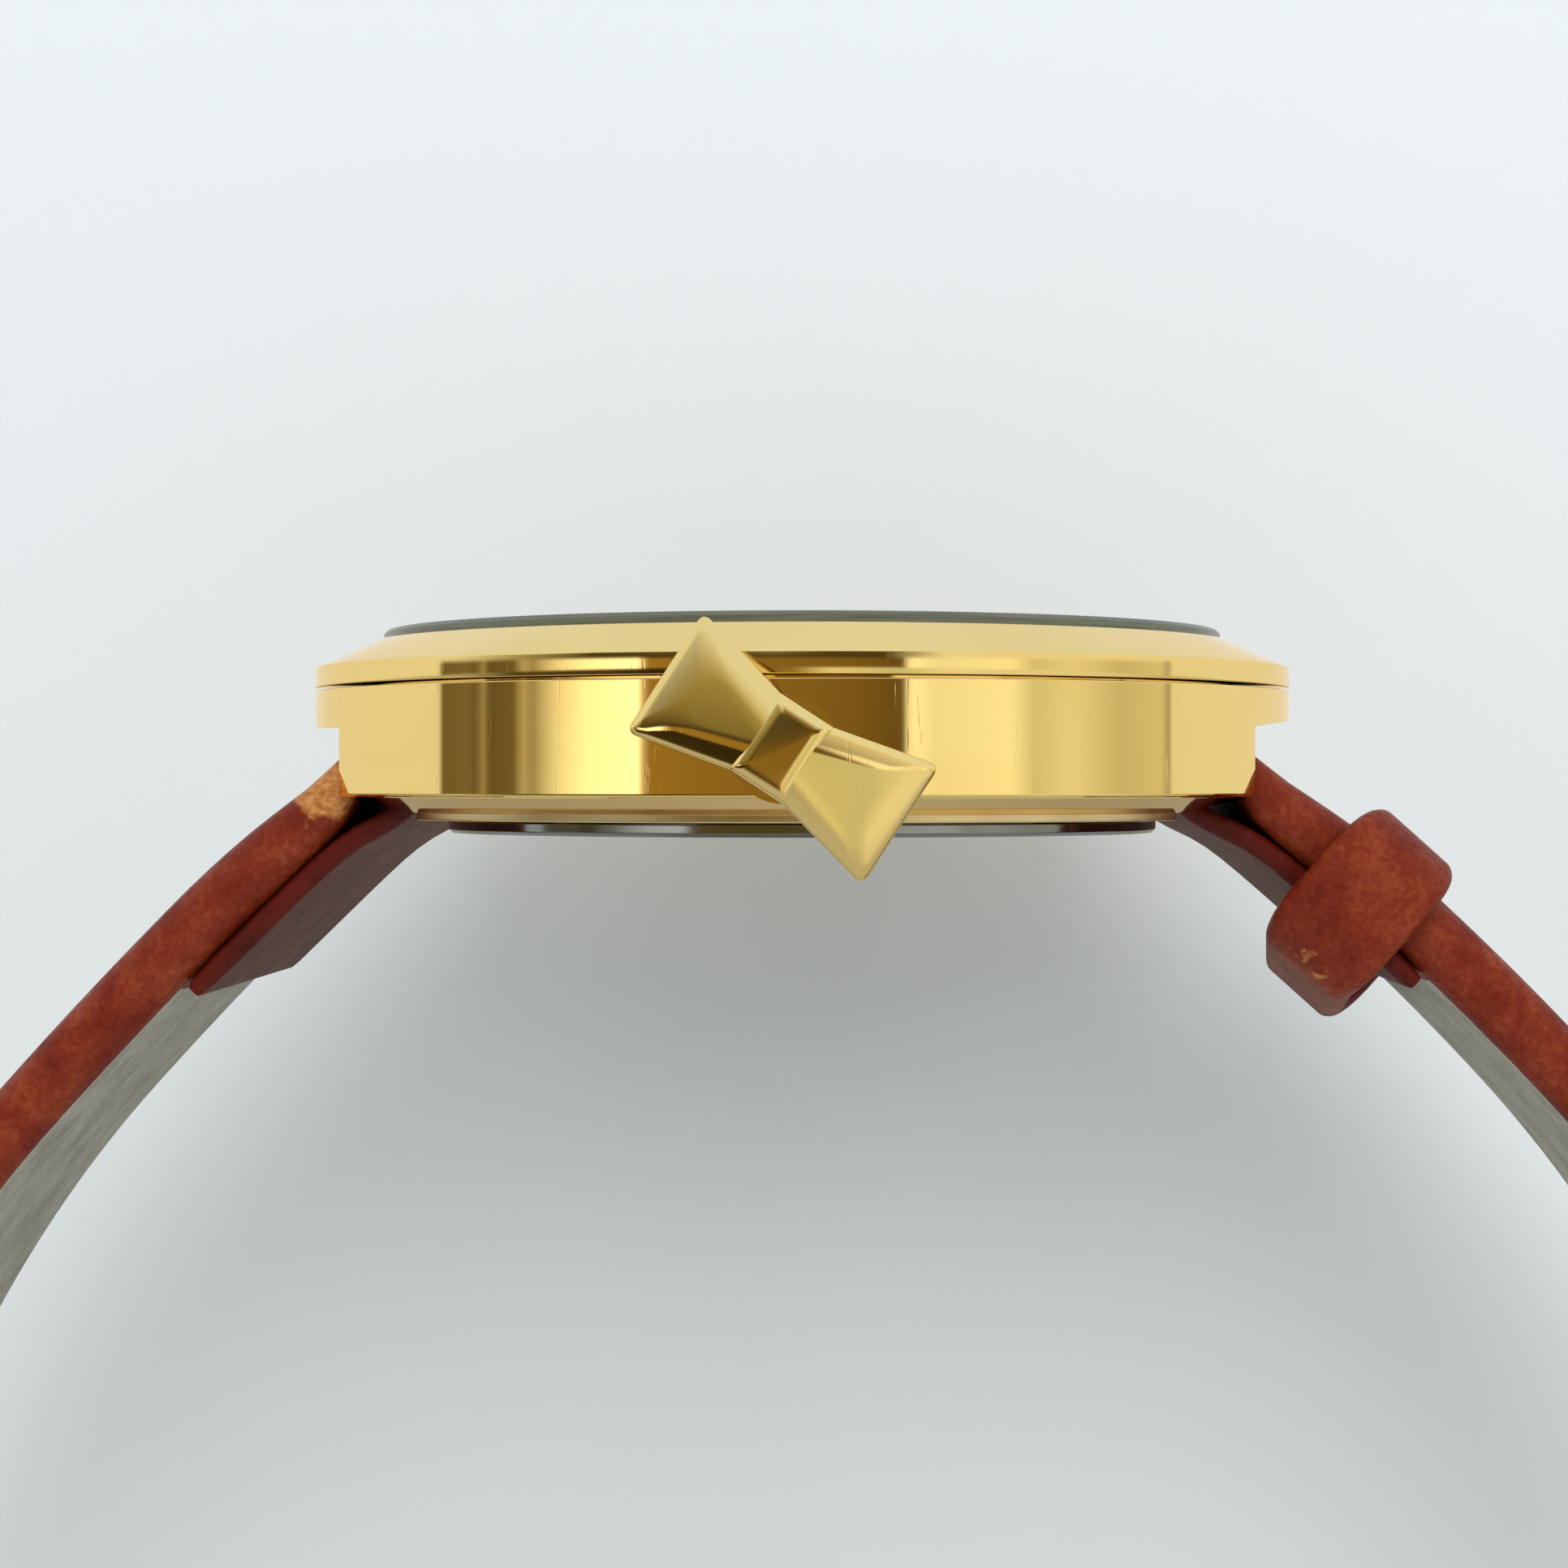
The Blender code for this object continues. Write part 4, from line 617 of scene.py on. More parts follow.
marker_gold = gold_plate("marker_gold", GOLD, GOLD_DEEP, smoothest=0.06, dullest=0.14, smears=500.0)
stroke_ink = movement_finish("stroke_ink", STROKE_BLACK, STROKE_GREY, 0.0, 0.5, (3000.0, 3000.0, 3000.0))
for name, count, length, width in (("hour_bars", 12, 2.4, 0.56), ("quarter_bars", 4, 3.4, 0.9)):
    bars_round_dial(
        name, count, MARKER_OUTER, length, width, MARKER_LOW, MARKER_TOP, MARKER_EDGE, marker_gold
    )
bars_round_dial(
    "minute_strokes", 60, STROKE_OUTER, 0.32, 0.07, STROKE_LOW, STROKE_TOP, 0.0, stroke_ink
)

# Flange ring: a thin turned gold ring that slopes from the dial up to the bezel's window, pressed into
# the case over the dial's edge to hold it down.
FLANGE_R = 13.2
FLANGE_LOW = DIAL_HIGH + 0.02
WINDOW_R = 13.7
FLANGE_OUTER = 14.35
flange_corners = [
    (FLANGE_R, FLANGE_LOW, 0.03),
    (FLANGE_OUTER, FLANGE_LOW, 0.0),
    (FLANGE_OUTER, RIM_TOP, 0.0),
    (WINDOW_R, RIM_TOP, 0.03),
]
fit_piece(turned_piece("flange", flange_corners, 192, marker_gold), "flange_ring", "case")

# Hands: three gold hands pressed on the hour wheel's pipe, the cannon pinion and the second wheel's
# arbor. The hour and minute hands are struck with a ridge along the middle, and the second hand is
# a thin needle with a counterweight.
HAND_THICKNESS = 0.12
HAND_RIM = 0.01
RIDGE_DROP = 0.005
ROOT_SHARE = 0.5
TIP_SHARE = 0.08
TAIL_SHARE = 0.7
WIDEST_AT = 0.25


def struck_hand(name, node, body, length, tail, half, hub_r, hole_r, low, turn):
    """A hand of two slopes along a ridge, round a ring that fits its pipe."""
    high = low + HAND_THICKNESS
    hub = [(hole_r, low, 0.0), (hub_r, low, 0.0), (hub_r, high, 0.03), (hole_r, high, 0.03)]
    bm = turned_body(eased(hub), 48)
    inner = (hub_r + hole_r) / 2
    for start, end, widest in ((inner, length, half), (-inner, -tail, half * TAIL_SHARE)):
        middle = start + (end - start) * WIDEST_AT
        pairs = []
        for along, share in ((start, ROOT_SHARE), (middle, 1.0), (end, TIP_SHARE)):
            wide = widest * share
            pairs.append([bm.verts.new((along, side * wide, low + HAND_RIM)) for side in (1, -1)])
        rims, wides, tips = pairs
        ridge = [bm.verts.new((x, 0.0, high - RIDGE_DROP)) for x in (start, middle, end)]
        for side in (0, 1):
            bm.faces.new((rims[side], wides[side], ridge[1], ridge[0]))
            bm.faces.new((wides[side], tips[side], ridge[2], ridge[1]))
        bm.faces.new((rims[0], rims[1], wides[1], wides[0]))
        bm.faces.new((wides[0], wides[1], tips[1], tips[0]))
        bm.faces.new((rims[0], rims[1], ridge[0]))
        bm.faces.new((tips[0], tips[1], ridge[2]))
    bmesh.ops.rotate(bm, matrix=Matrix.Rotation(math.radians(turn), 3, "Z"), verts=bm.verts)
    fit_piece(make_piece(name, bm, marker_gold, 12.0), node, body)


struck_hand("hour_blade", "hour_hand", "hour_group", 7.4, 1.6, 0.55, 1.15, 0.72, 4.72, 55.0)
struck_hand("minute_blade", "minute_hand", "minute_group", 11.2, 1.8, 0.45, 0.85, 0.44, 4.97, -60.0)
struck_hand("second_needle", "second_hand", "second_group", 12.2, 3.2, 0.16, 0.5, 0.14, 5.22, 150.0)

# Bezel: a gold ring pressed over the case's rim, leaving a hairline seam. Its band is flush with the
# case wall, and a wide polished slope leads up to the crystal.
BEZEL_FOOT = 4.95
BEZEL_SHOULDER = 5.66
BEZEL_TOP = 6.63
BEZEL_TOP_R = 14.85
CRYSTAL_BORE_R = 14.67
BEZEL_LEDGE = 5.75
LEDGE_LOW = 5.55
RIM_BORE_R = 15.05
bezel_corners = [
    (CASE_R, BEZEL_FOOT, 0.04),
    (CASE_R, BEZEL_SHOULDER, 0.07),
    (BEZEL_TOP_R, BEZEL_TOP, 0.06),
    (CRYSTAL_BORE_R, BEZEL_TOP, 0.03),
    (CRYSTAL_BORE_R, BEZEL_LEDGE, 0.0),
    (WINDOW_R, BEZEL_LEDGE, 0.03),
    (WINDOW_R, LEDGE_LOW, 0.03),
    (RIM_BORE_R, LEDGE_LOW, 0.0),
    (RIM_BORE_R, BEZEL_FOOT, 0.0),
]
fit_piece(turned_piece("bezel_ring", bezel_corners, 288, case_gold), "bezel", "case")

# Crystal: a flat mineral glass disc with a ground bevel, pushed into the bezel on its gasket. Its
# edge stands a little above the gold and shows the glass's grey-green.
CRYSTAL_R = 14.62
CRYSTAL_LOW = 5.92
CRYSTAL_TOP = 6.98
CRYSTAL_BEVEL = 0.12
EDGE_STEEPEST = 0.9
GLASS_IOR = 1.52
GLASS_TINT = (0.965, 0.985, 0.975)
GLASS_EDGE = (0.215, 0.222, 0.150)
GLASS_EDGE_DARK = (0.110, 0.116, 0.078)

crystal_glass, glass_tree, glass_shader = finish_material(
    "crystal_glass", {"Base Color": (*GLASS_TINT, 1.0), "Transmission Weight": 1.0, "IOR": GLASS_IOR}
)
glass_marks = place_group(glass_tree, hand_marks, {"Smears per metre": 220.0})
spread(glass_tree, glass_marks, "Smears", 0.0, 0.03, glass_shader, "Roughness")
ground_edge, ground_tree, ground_shader = finish_material(
    "ground_edge", {"Transmission Weight": 0.35, "IOR": GLASS_IOR}
)
ground_lines = place_group(ground_tree, drawn_lines, {"Lines per metre": (260.0, 260.0, 9000.0)})
ground_stops = ((0.3, GLASS_EDGE_DARK), (0.7, GLASS_EDGE))
vary(ground_tree, ground_lines, "Lines", ground_stops, 0.18, 0.40, ground_shader)
crystal_corners = [
    (0.0, CRYSTAL_LOW, 0.0),
    (CRYSTAL_R, CRYSTAL_LOW, 0.05),
    (CRYSTAL_R, CRYSTAL_TOP - CRYSTAL_BEVEL, 0.03),
    (CRYSTAL_R - CRYSTAL_BEVEL, CRYSTAL_TOP, 0.03),
    (0.0, CRYSTAL_TOP, 0.0),
]
crystal_disc = turned_piece("crystal_disc", crystal_corners, 192, crystal_glass)
crystal_disc.data.materials.append(ground_edge)
for polygon in crystal_disc.data.polygons:
    polygon.material_index = int(abs(polygon.normal.z) < EDGE_STEEPEST)
fit_piece(crystal_disc, "crystal", "case")

# Crown: a bow cast in one piece, plated and polished like the case, and screwed on the stem. Two
# four-sided wings slope away from a raised knot, their faces softly domed inside a rounded rim.
BOW_BACK = 17.25
BOW_TILT = 33.0
WING_INNER = 0.80
WING_OUTER = 4.08
WING_WAIST = 1.30
WING_HALF = 2.10
WING_HOLLOW = 0.05
WING_CORNER = 0.25
CORNER_GROWTH = 0.4
WING_FACE = 2.98
WING_FALL = 0.72
WING_DOME = 0.19
DOME_START = 0.15
DOME_STEP = 0.105
DOME_STEPS = 10
DOME_REACH = 1.2
DOME_SINK = 0.55
KNOT_HALF = 0.98
KNOT_TALL = 1.33
KNOT_FACE = 3.08
KNOT_CORNER = 0.12
BOSS_R = 1.6
BOSS_LENGTH = 1.3
BORE_DEPTH = 1.1
CROWN_BORE_R = 1.1


def wing_loop(side, inset, drop):
    """One outline of a wing, drawn in from its rim, at a depth below its sloping face."""
    corner = WING_CORNER + CORNER_GROWTH * inset
    end = WING_OUTER - inset
    outline = eased(
        [
            (WING_INNER, WING_WAIST - inset, 0.0),
            (end, WING_HALF - inset, corner),
            (end, inset - WING_HALF, corner),
            (WING_INNER, inset - WING_WAIST, 0.0),
        ]
    )
    loop = []
    for along, up in outline:
        lean = (along - WING_INNER) / (WING_OUTER - WING_INNER)
        depth = WING_FACE - WING_FALL * lean - drop
        hollow = 1.0 - WING_HOLLOW * math.sin(lean * math.pi)
        loop.append((side * along, -BOW_BACK - depth, up * hollow))
    return loop


bow_body = bmesh.new()
wing_rims = [(0.42, 2.15), (0.10, 1.75), (0.02, 1.2), (0.0, 0.36), (0.01, 0.24), (0.04, 0.14), (0.09, 0.08)]
for step in range(DOME_STEPS):
    inset = DOME_START + DOME_STEP * step
    wing_rims.append((inset, WING_DOME * (1.0 - inset / DOME_REACH) ** 2 - WING_DOME * DOME_SINK))
for side in (1, -1):
    stack_loops(bow_body, [wing_loop(side, inset, drop) for inset, drop in wing_rims])
knot_rims = ((0.10, 2.5), (0.0, 2.2), (0.0, 0.42), (0.03, 0.22), (0.10, 0.08), (0.20, 0.0), (0.45, -0.03))
knot_loops = []
for inset, drop in knot_rims:
    wide = KNOT_HALF - inset
    tall = KNOT_TALL - inset
    corners = ((wide, tall), (wide, -tall), (-wide, -tall), (-wide, tall))
    outline = eased([(along, up, KNOT_CORNER) for along, up in corners])
    knot_loops.append([(along, drop - BOW_BACK - KNOT_FACE, up) for along, up in outline])
stack_loops(bow_body, knot_loops)
bow_turn = Matrix.Translation((0.0, 0.0, STEM_Z)) @ Matrix.Rotation(math.radians(BOW_TILT), 4, "Y")
crown_bow = make_piece("crown_bow_cast", moved(bow_body, bow_turn), case_gold, 48.0)
boss_corners = [
    (CROWN_BORE_R, BOW_BACK, 0.05),
    (BOSS_R, BOW_BACK, 0.1),
    (BOSS_R, BOW_BACK + BOSS_LENGTH, 0.0),
    (0.0, BOW_BACK + BOSS_LENGTH, 0.0),
    (0.0, BOW_BACK + BORE_DEPTH, 0.0),
    (CROWN_BORE_R, BOW_BACK + BORE_DEPTH, 0.0),
]
crown_boss = make_piece("crown_boss", moved(turned_body(eased(boss_corners), 64), along_stem), case_gold)
for made in (crown_bow, crown_boss):
    fit_piece(made, "crown_bow", "crown")

# Straps: each an outer leather, rolled over at its edges, skived thin where it turns round its spring
# bar and sewn back under itself. The long one has a round tip and six holes, and the short one
# is turned round the buckle's bar in the same way, with a slot for the tongue.
LUG_WIDTH = 16.0
END_WIDTH = 14.0
LONG_LENGTH = 106.0
SHORT_LENGTH = 65.0
LONG_TIP = 8.0
TIP_ROWS = 14
HOLE_R = 0.8
HOLE_COUNT = 6
HOLE_PITCH = 6.5
FIRST_HOLE = 24.0
HOLE_REACH = 2.0
LUG_BEND = 16.0
SIDE_BEND = 21.2
FLOOR_BEND = 39.8
ROLL_R = 1.05
BODY_THICKNESS = 2.2
BODY_START = 7.3
BODY_STEP = 0.9
LUG_RISE = 0.85
RISE_FADE_START = 26.0
RISE_FADE = 22.0
FOLD_R = 1.12
FOLD_THICKNESS = 0.74
FLAP_RISE = -0.64
FLAP_END = 9.5
FLAP_INSET = 0.28
INSET_RISE = -0.5
INSET_FADE = 0.1
FLAP_ROWS = 12
SKIVE_START = 59.4
BUCKLE_BAR_RISE = 0.45
BUCKLE_FOLD_R = 1.15
BUCKLE_FOLD_THICKNESS = 0.66
STRAP_SHARPEST = 50.0
LEATHER_PORES = 2600.0
LEATHER_DEPTH = 0.00008
LEATHER_DULL = 0.58
LEATHER_SMOOTH = 0.36
LEATHER_SPECULAR = 0.18
GRAIN_STRENGTH = 0.6
GRAIN_SHIFT = (0.0006, 0.0006, 0.0006)
LEATHER_SHADE = (0.115, 0.008, 0.002)
LEATHER_RED = (0.190, 0.021, 0.005)
LEATHER_WORN = (0.285, 0.052, 0.016)
# Painted shade: the flap's two darker reds stand for the shadow under the strap's body, where the flap
# faces down.
FLAP_SHADOW_DARK = (0.050, 0.003, 0.001)
FLAP_SHADOW_RED = (0.085, 0.006, 0.002)
LEATHER_RAW = (0.560, 0.250, 0.075)
LEATHER_RAW_DARK = (0.360, 0.110, 0.024)
MIX_FIRST = 6
MIX_SECOND = 7
MIX_RESULT = 2

leather_grain, grain_in, grain_out = value_group(
    "leather_grain", [("Pores per metre", "Float")], ["Grain", "Handling"]
)
grain_cells = add_node(leather_grain, "ShaderNodeTexVoronoi", {"Smoothness": 0.6}, feature="SMOOTH_F1")
grain_warp = add_node(leather_grain, "ShaderNodeTexNoise", {"Scale": 900.0, "Detail": 2.0})
grain_shift = add_node(leather_grain, "ShaderNodeVectorMath", {1: GRAIN_SHIFT}, operation="MULTIPLY_ADD")
handling = {"Scale": 520.0, "Detail": 8.0, "Roughness": 0.70}
handling_noise = add_node(leather_grain, "ShaderNodeTexNoise", handling)
pigment_noise = add_node(leather_grain, "ShaderNodeTexNoise", {"Scale": 5200.0, "Detail": 3.0})
pigment_share = add_node(leather_grain, "ShaderNodeMath", {1: 0.4}, operation="MULTIPLY_ADD")
pigment_level = add_node(leather_grain, "ShaderNodeMath", {1: 0.2}, operation="SUBTRACT")
wire(
    leather_grain,
    (grain_in, "Vector", grain_warp, "Vector"),
    (grain_warp, "Color", grain_shift, 0),
    (grain_in, "Vector", grain_shift, 2),
    (grain_shift, "Vector", grain_cells, "Vector"),
    (grain_in, "Pores per metre", grain_cells, "Scale"),
    (grain_cells, "Distance", grain_out, "Grain"),
    (grain_in, "Vector", handling_noise, "Vector"),
    (grain_in, "Vector", pigment_noise, "Vector"),
    (pigment_noise, "Fac", pigment_share, 0),
    (handling_noise, "Fac", pigment_share, 2),
    (pigment_share, "Value", pigment_level, 0),
    (pigment_level, "Value", grain_out, "Handling"),
)

worn_patch, patch_in, patch_out = value_group(
    "worn_patch", [("Middle", "Vector"), ("Reach", "Float")], ["Patch"]
)
patch_gap = add_node(worn_patch, "ShaderNodeVectorMath", operation="DISTANCE")
patch_fray = add_node(worn_patch, "ShaderNodeTexNoise", {"Scale": 1500.0, "Detail": 5.0})
patch_ragged = add_node(worn_patch, "ShaderNodeMath", {1: 0.0022}, operation="MULTIPLY_ADD")
patch_ratio = add_node(worn_patch, "ShaderNodeMath", operation="DIVIDE")
patch_mask = add_node(worn_patch, "ShaderNodeMapRange", {"From Min": 1.12, "From Max": 0.98})
wire(
    worn_patch,
    (patch_in, "Vector", patch_gap, 0),
    (patch_in, "Middle", patch_gap, 1),
    (patch_in, "Vector", patch_fray, "Vector"),
    (patch_fray, "Fac", patch_ragged, 0),
    (patch_gap, "Value", patch_ragged, 2),
    (patch_ragged, "Value", patch_ratio, 0),
    (patch_in, "Reach", patch_ratio, 1),
    (patch_ratio, "Value", patch_mask, "Value"),
    (patch_mask, "Result", patch_out, "Patch"),
)


def strap_material(
    name, stops, pores=LEATHER_PORES, depth=LEATHER_DEPTH, dull=LEATHER_DULL, smooth=LEATHER_SMOOTH
):
    """Leather with grain, and colour and gloss that vary with handling."""
    material, tree, shader = finish_material(name, {"Specular IOR Level": LEATHER_SPECULAR})
    grain = place_group(tree, leather_grain, {"Pores per metre": pores})
    vary(tree, grain, "Handling", stops, dull, smooth, shader)
    emboss(tree, grain, "Grain", shader, GRAIN_STRENGTH, depth, False)
    return material


red_stops = ((0.27, LEATHER_SHADE), (0.5, LEATHER_RED), (0.73, LEATHER_WORN))
strap_leather = strap_material("strap_leather", red_stops)
# The flap leather is the strap's leather painted darker, as painted shade under the strap's body.
flap_shadow_stops = ((0.30, FLAP_SHADOW_DARK), (0.5, FLAP_SHADOW_RED), (0.70, LEATHER_SHADE))
flap_shadowed_leather = strap_material("flap_shadowed_leather", flap_shadow_stops)


def bare_patch(material, middle, reach):
    """Lay a frayed patch of raw tan leather over a leather's colour."""
    tree = material.node_tree
    shader = tree.nodes["Principled BSDF"]
    under = shader.inputs["Base Color"].links[0].from_socket
    patch = place_group(tree, worn_patch, {"Middle": Vector(middle) * MM, "Reach": reach * MM})
    fibre = place_group(tree, drawn_lines, {"Lines per metre": (2600.0, 1400.0, 5200.0)})
    over = add_node(tree, "ShaderNodeMix", data_type="RGBA")
    tint(tree, fibre, "Lines", ((0.35, LEATHER_RAW_DARK), (0.65, LEATHER_RAW)), over, MIX_SECOND)
    tree.links.new(under, over.inputs[MIX_FIRST])
    wire(tree, (patch, "Patch", over, "Factor"), (over, MIX_RESULT, shader, "Base Color"))


bare_patch(strap_leather, (-15.7, -7.7, 1.9), 2.35)
bare_patch(strap_leather, (16.05, -8.75, -4.6), 1.85)


def strap_route(stages, start_heading, step=0.8):
    """Rows (distance, out, down, heading) along a strap's middle from its bar, arc by arc."""
    route = [(0.0, 0.0, 0.0, math.radians(start_heading))]
    for length, end_heading in stages:
        count = max(2, round(length / step))
        turn = (math.radians(end_heading) - route[-1][3]) / count
        for _ in range(count):
            distance, out, down, heading = route[-1]
            middle = heading + turn / 2
            out += length / count * math.cos(middle)
            down += length / count * math.sin(middle)
            route.append((distance + length / count, out, down, heading + turn))
    return route


def on_route(route, distance, rise):
    """A point (out, up) off the strap's middle, rising towards its outer face."""
    row = min(route, key=lambda r: abs(r[0] - distance))
    past = distance - row[0]
    out = row[1] + past * math.cos(row[3]) + rise * math.sin(row[3])
    down = row[2] + past * math.sin(row[3]) - rise * math.cos(row[3])
    return Vector((out, -down))


long_tail = LONG_LENGTH - LUG_BEND - SIDE_BEND - FLOOR_BEND
long_stages = ((LUG_BEND, 48.0), (SIDE_BEND, 75.0), (FLOOR_BEND, 180.0), (long_tail, 180.0))
short_stages = ((LUG_BEND, 47.5), (SIDE_BEND, 75.0), (SHORT_LENGTH - LUG_BEND - SIDE_BEND, 102.0))
long_route = strap_route(long_stages, 42.0)
short_route = strap_route(short_stages, 38.0)


def half_width(distance, length):
    """Half the strap's width, tapering from the lugs to its end."""
    return (LUG_WIDTH + (END_WIDTH - LUG_WIDTH) * min(1.0, max(0.0, distance / length))) / 2


def eased_box(half, low, high, radius, steps=5):
    """A rectangle, as wide to both sides, with rounded corners."""
    corners = ((half, low), (half, high), (-half, high), (-half, low))
    return eased([(across, up, radius) for across, up in corners], steps)


def rolled_section(half, thickness):
    """A strap's cross-section with rolled edges, as (across, rise) points."""
    radius = min(ROLL_R, thickness * 0.48, half * 0.9)
    return eased_box(half, -thickness / 2, thickness / 2, radius)


def swept_strip(rows, side):
    """Sweep rolled sections along rows (out, up, half width, thickness) in the strap's plane."""
    loops = []
    for count, (x, z, half, thickness) in enumerate(rows):
        before = Vector(rows[max(0, count - 1)][:2])
        after = Vector(rows[min(len(rows) - 1, count + 1)][:2])
        along = (after - before).normalized()
        loop = []
        for across, rise in rolled_section(half, thickness):
            spot = Vector((x, z)) + Vector((-along.y, along.x)) * rise
            loop.append((side * (BAR_X + spot.x), across, BAR_Z + spot.y))
        loops.append(loop)
    return stack_loops(bmesh.new(), loops)


def body_rise(distance):
    """How far the leather stands out from its route, most at the lugs and none at the end."""
    share = min(1.0, max(0.0, (distance - RISE_FADE_START) / RISE_FADE))
    return LUG_RISE * (1.0 - share * share * (3.0 - 2.0 * share))


def folded_round(distance, rise, radius, turns, thickness):
    """Rows of leather folded round a bar, one for each turn in degrees."""
    angles = [math.radians(turn) for turn in turns]
    return [(distance + radius * math.cos(a), rise + radius * math.sin(a), thickness) for a in angles]


def lug_fold():
    """Rows of the flap, round the spring bar and up to the strap's full thickness."""
    flap = ((9.5, 0.45), (9.35, 0.60), (9.0, 0.68), (8.0, 0.72), (6.5, 0.74), (5.0, 0.74), (4.2, 0.74))
    rows = [(distance, FLAP_RISE, thickness) for distance, thickness in flap]
    hook = ((3.4, -0.65), (2.7, -0.69), (2.0, -0.79), (1.2, -0.98), (0.5, -1.10))
    rows += [(distance, rise, FOLD_THICKNESS) for distance, rise in hook]
    rows += folded_round(0.0, 0.0, FOLD_R, range(270, 89, -15), FOLD_THICKNESS)
    rows += [(0.6, 1.06, 0.92), (1.3, 0.875, 1.35), (2.1, 0.725, 1.69), (3.0, 0.72, 1.88)]
    rows += [(3.8, 0.755, 1.99), (4.6, 0.79, 2.08), (5.5, 0.82, 2.14), (6.4, 0.84, 2.18)]
    return rows


def body_rows(end):
    """Rows of a strap at its full thickness, from its fold to an end."""
    count = int((end - BODY_START) / BODY_STEP) + 1
    places = [BODY_START + BODY_STEP * step for step in range(count)]
    return [(distance, body_rise(distance), BODY_THICKNESS) for distance in places]


def to_plane(route, rows, length):
    """Turn rows (distance, rise, thickness) into rows of the strap's plane."""
    made = []
    for distance, rise, thickness in rows:
        spot = on_route(route, distance, rise)
        half = half_width(distance, length)
        if rise < INSET_RISE and distance < FLAP_END + 1.0:
            half -= FLAP_INSET * min(1.0, (INSET_RISE - rise) / INSET_FADE)
        made.append((spot.x, spot.y, half, thickness))
    return made


tip_start = LONG_LENGTH - LONG_TIP
long_plane = to_plane(long_route, lug_fold() + body_rows(tip_start), LONG_LENGTH)
for step in range(1, TIP_ROWS + 1):
    past = math.sin(math.radians(90.0 * step / (TIP_ROWS + 0.5)))
    distance = tip_start + LONG_TIP * past
    half = half_width(distance, LONG_LENGTH) * max(0.1, math.sqrt(1.0 - past * past))
    spot = on_route(long_route, distance, 0.0)
    long_plane.append((spot.x, spot.y, half, BODY_THICKNESS * (1.0 - 0.25 * past**6)))
long_leather = make_piece("long_leather", swept_strip(long_plane, -1), strap_leather, STRAP_SHARPEST)

short_rows = lug_fold() + body_rows(SKIVE_START)
short_rows += [(SKIVE_START, 0.06, 2.08), (60.0, 0.56, 1.08), (61.4, 0.62, 1.02), (62.6, 0.86, 0.9)]
short_rows += [(63.6, 1.22, 0.75), (64.4, 1.50, 0.66)]
short_rows += folded_round(
    SHORT_LENGTH, BUCKLE_BAR_RISE, BUCKLE_FOLD_R, range(90, -91, -15), BUCKLE_FOLD_THICKNESS
)
short_rows += [(63.8, -0.70, 0.70), (62.4, -0.64, 0.84), (60.6, -0.56, 0.98), (60.2, -0.56, 0.98)]
short_strip = swept_strip(to_plane(short_route, short_rows, SHORT_LENGTH), 1)
short_leather = make_piece("short_leather", short_strip, strap_leather, STRAP_SHARPEST)
flap_faces = FLAP_ROWS * len(rolled_section(LUG_WIDTH / 2, FOLD_THICKNESS))
# The flap's rows and one end cap take the flap leather: painted shade for the shadow under the strap's
# body.
for piece in (long_leather, short_leather):
    piece.data.materials.append(flap_shadowed_leather)
    for polygon in (*piece.data.polygons[:flap_faces], piece.data.polygons[-2]):
        polygon.material_index = 1

# Linings: a strip of grey nubuck glued inside each strap, a little narrower than the leather, from
# the end of the turned-back flap to near the strap's end. The strap's holes and the tongue's slot go
# through leather and lining alike.
LINING_INSET = 0.9
LINING_RISE = -1.03
LINING_THICKNESS = 0.18
LINING_GAP = 0.3
LONG_LINING_END = LONG_LENGTH - 1.6
SHORT_LINING_END = SHORT_LENGTH - 4.6
TONGUE_SLOT = 1.3
SLOT_REACH = 4.5
LINING_GREY = (0.390, 0.368, 0.305)
LINING_PALE = (0.510, 0.485, 0.420)
LINING_DARK = (0.270, 0.248, 0.200)

grey_stops = ((0.25, LINING_DARK), (0.5, LINING_GREY), (0.75, LINING_PALE))
nubuck = strap_material("nubuck", grey_stops, pores=5200.0, depth=0.00005, dull=0.95, smooth=0.8)


def lining_strip(name, route, side, length, end):
    """A thin strip along a strap's inner face."""
    rows = []
    count = round((end - FLAP_END) / BODY_STEP)
    for step in range(count + 1):
        distance = FLAP_END + LINING_GAP + (end - FLAP_END - LINING_GAP) * step / count
        spot = on_route(route, distance, LINING_RISE + body_rise(distance))
        past = max(0.0, distance - tip_start) / LONG_TIP if side < 0 else 0.0
        half = half_width(distance, length) * math.sqrt(max(0.02, 1.0 - past * past)) - LINING_INSET
        rows.append((spot.x, spot.y, max(0.3, half), LINING_THICKNESS))
    return make_piece(name, swept_strip(rows, side), nubuck, STRAP_SHARPEST)


long_nubuck = lining_strip("long_nubuck", long_route, -1, LONG_LENGTH, LONG_LINING_END)
short_nubuck = lining_strip("short_nubuck", short_route, 1, SHORT_LENGTH, SHORT_LINING_END)


def strap_hole(distance):
    """A rod that stands on the long strap, out of the leather."""
    spot = on_route(long_route, distance, 0.0)
    rise = on_route(long_route, distance, 1.0) - spot
    turn = Vector((-rise.x, 0.0, rise.y)).to_track_quat("Z", "Y").to_matrix().to_4x4()
    place = Matrix.Translation((-(BAR_X + spot.x), 0.0, BAR_Z + spot.y)) @ turn
    return moved(rod(HOLE_R, -HOLE_REACH, HOLE_REACH, 24), place)


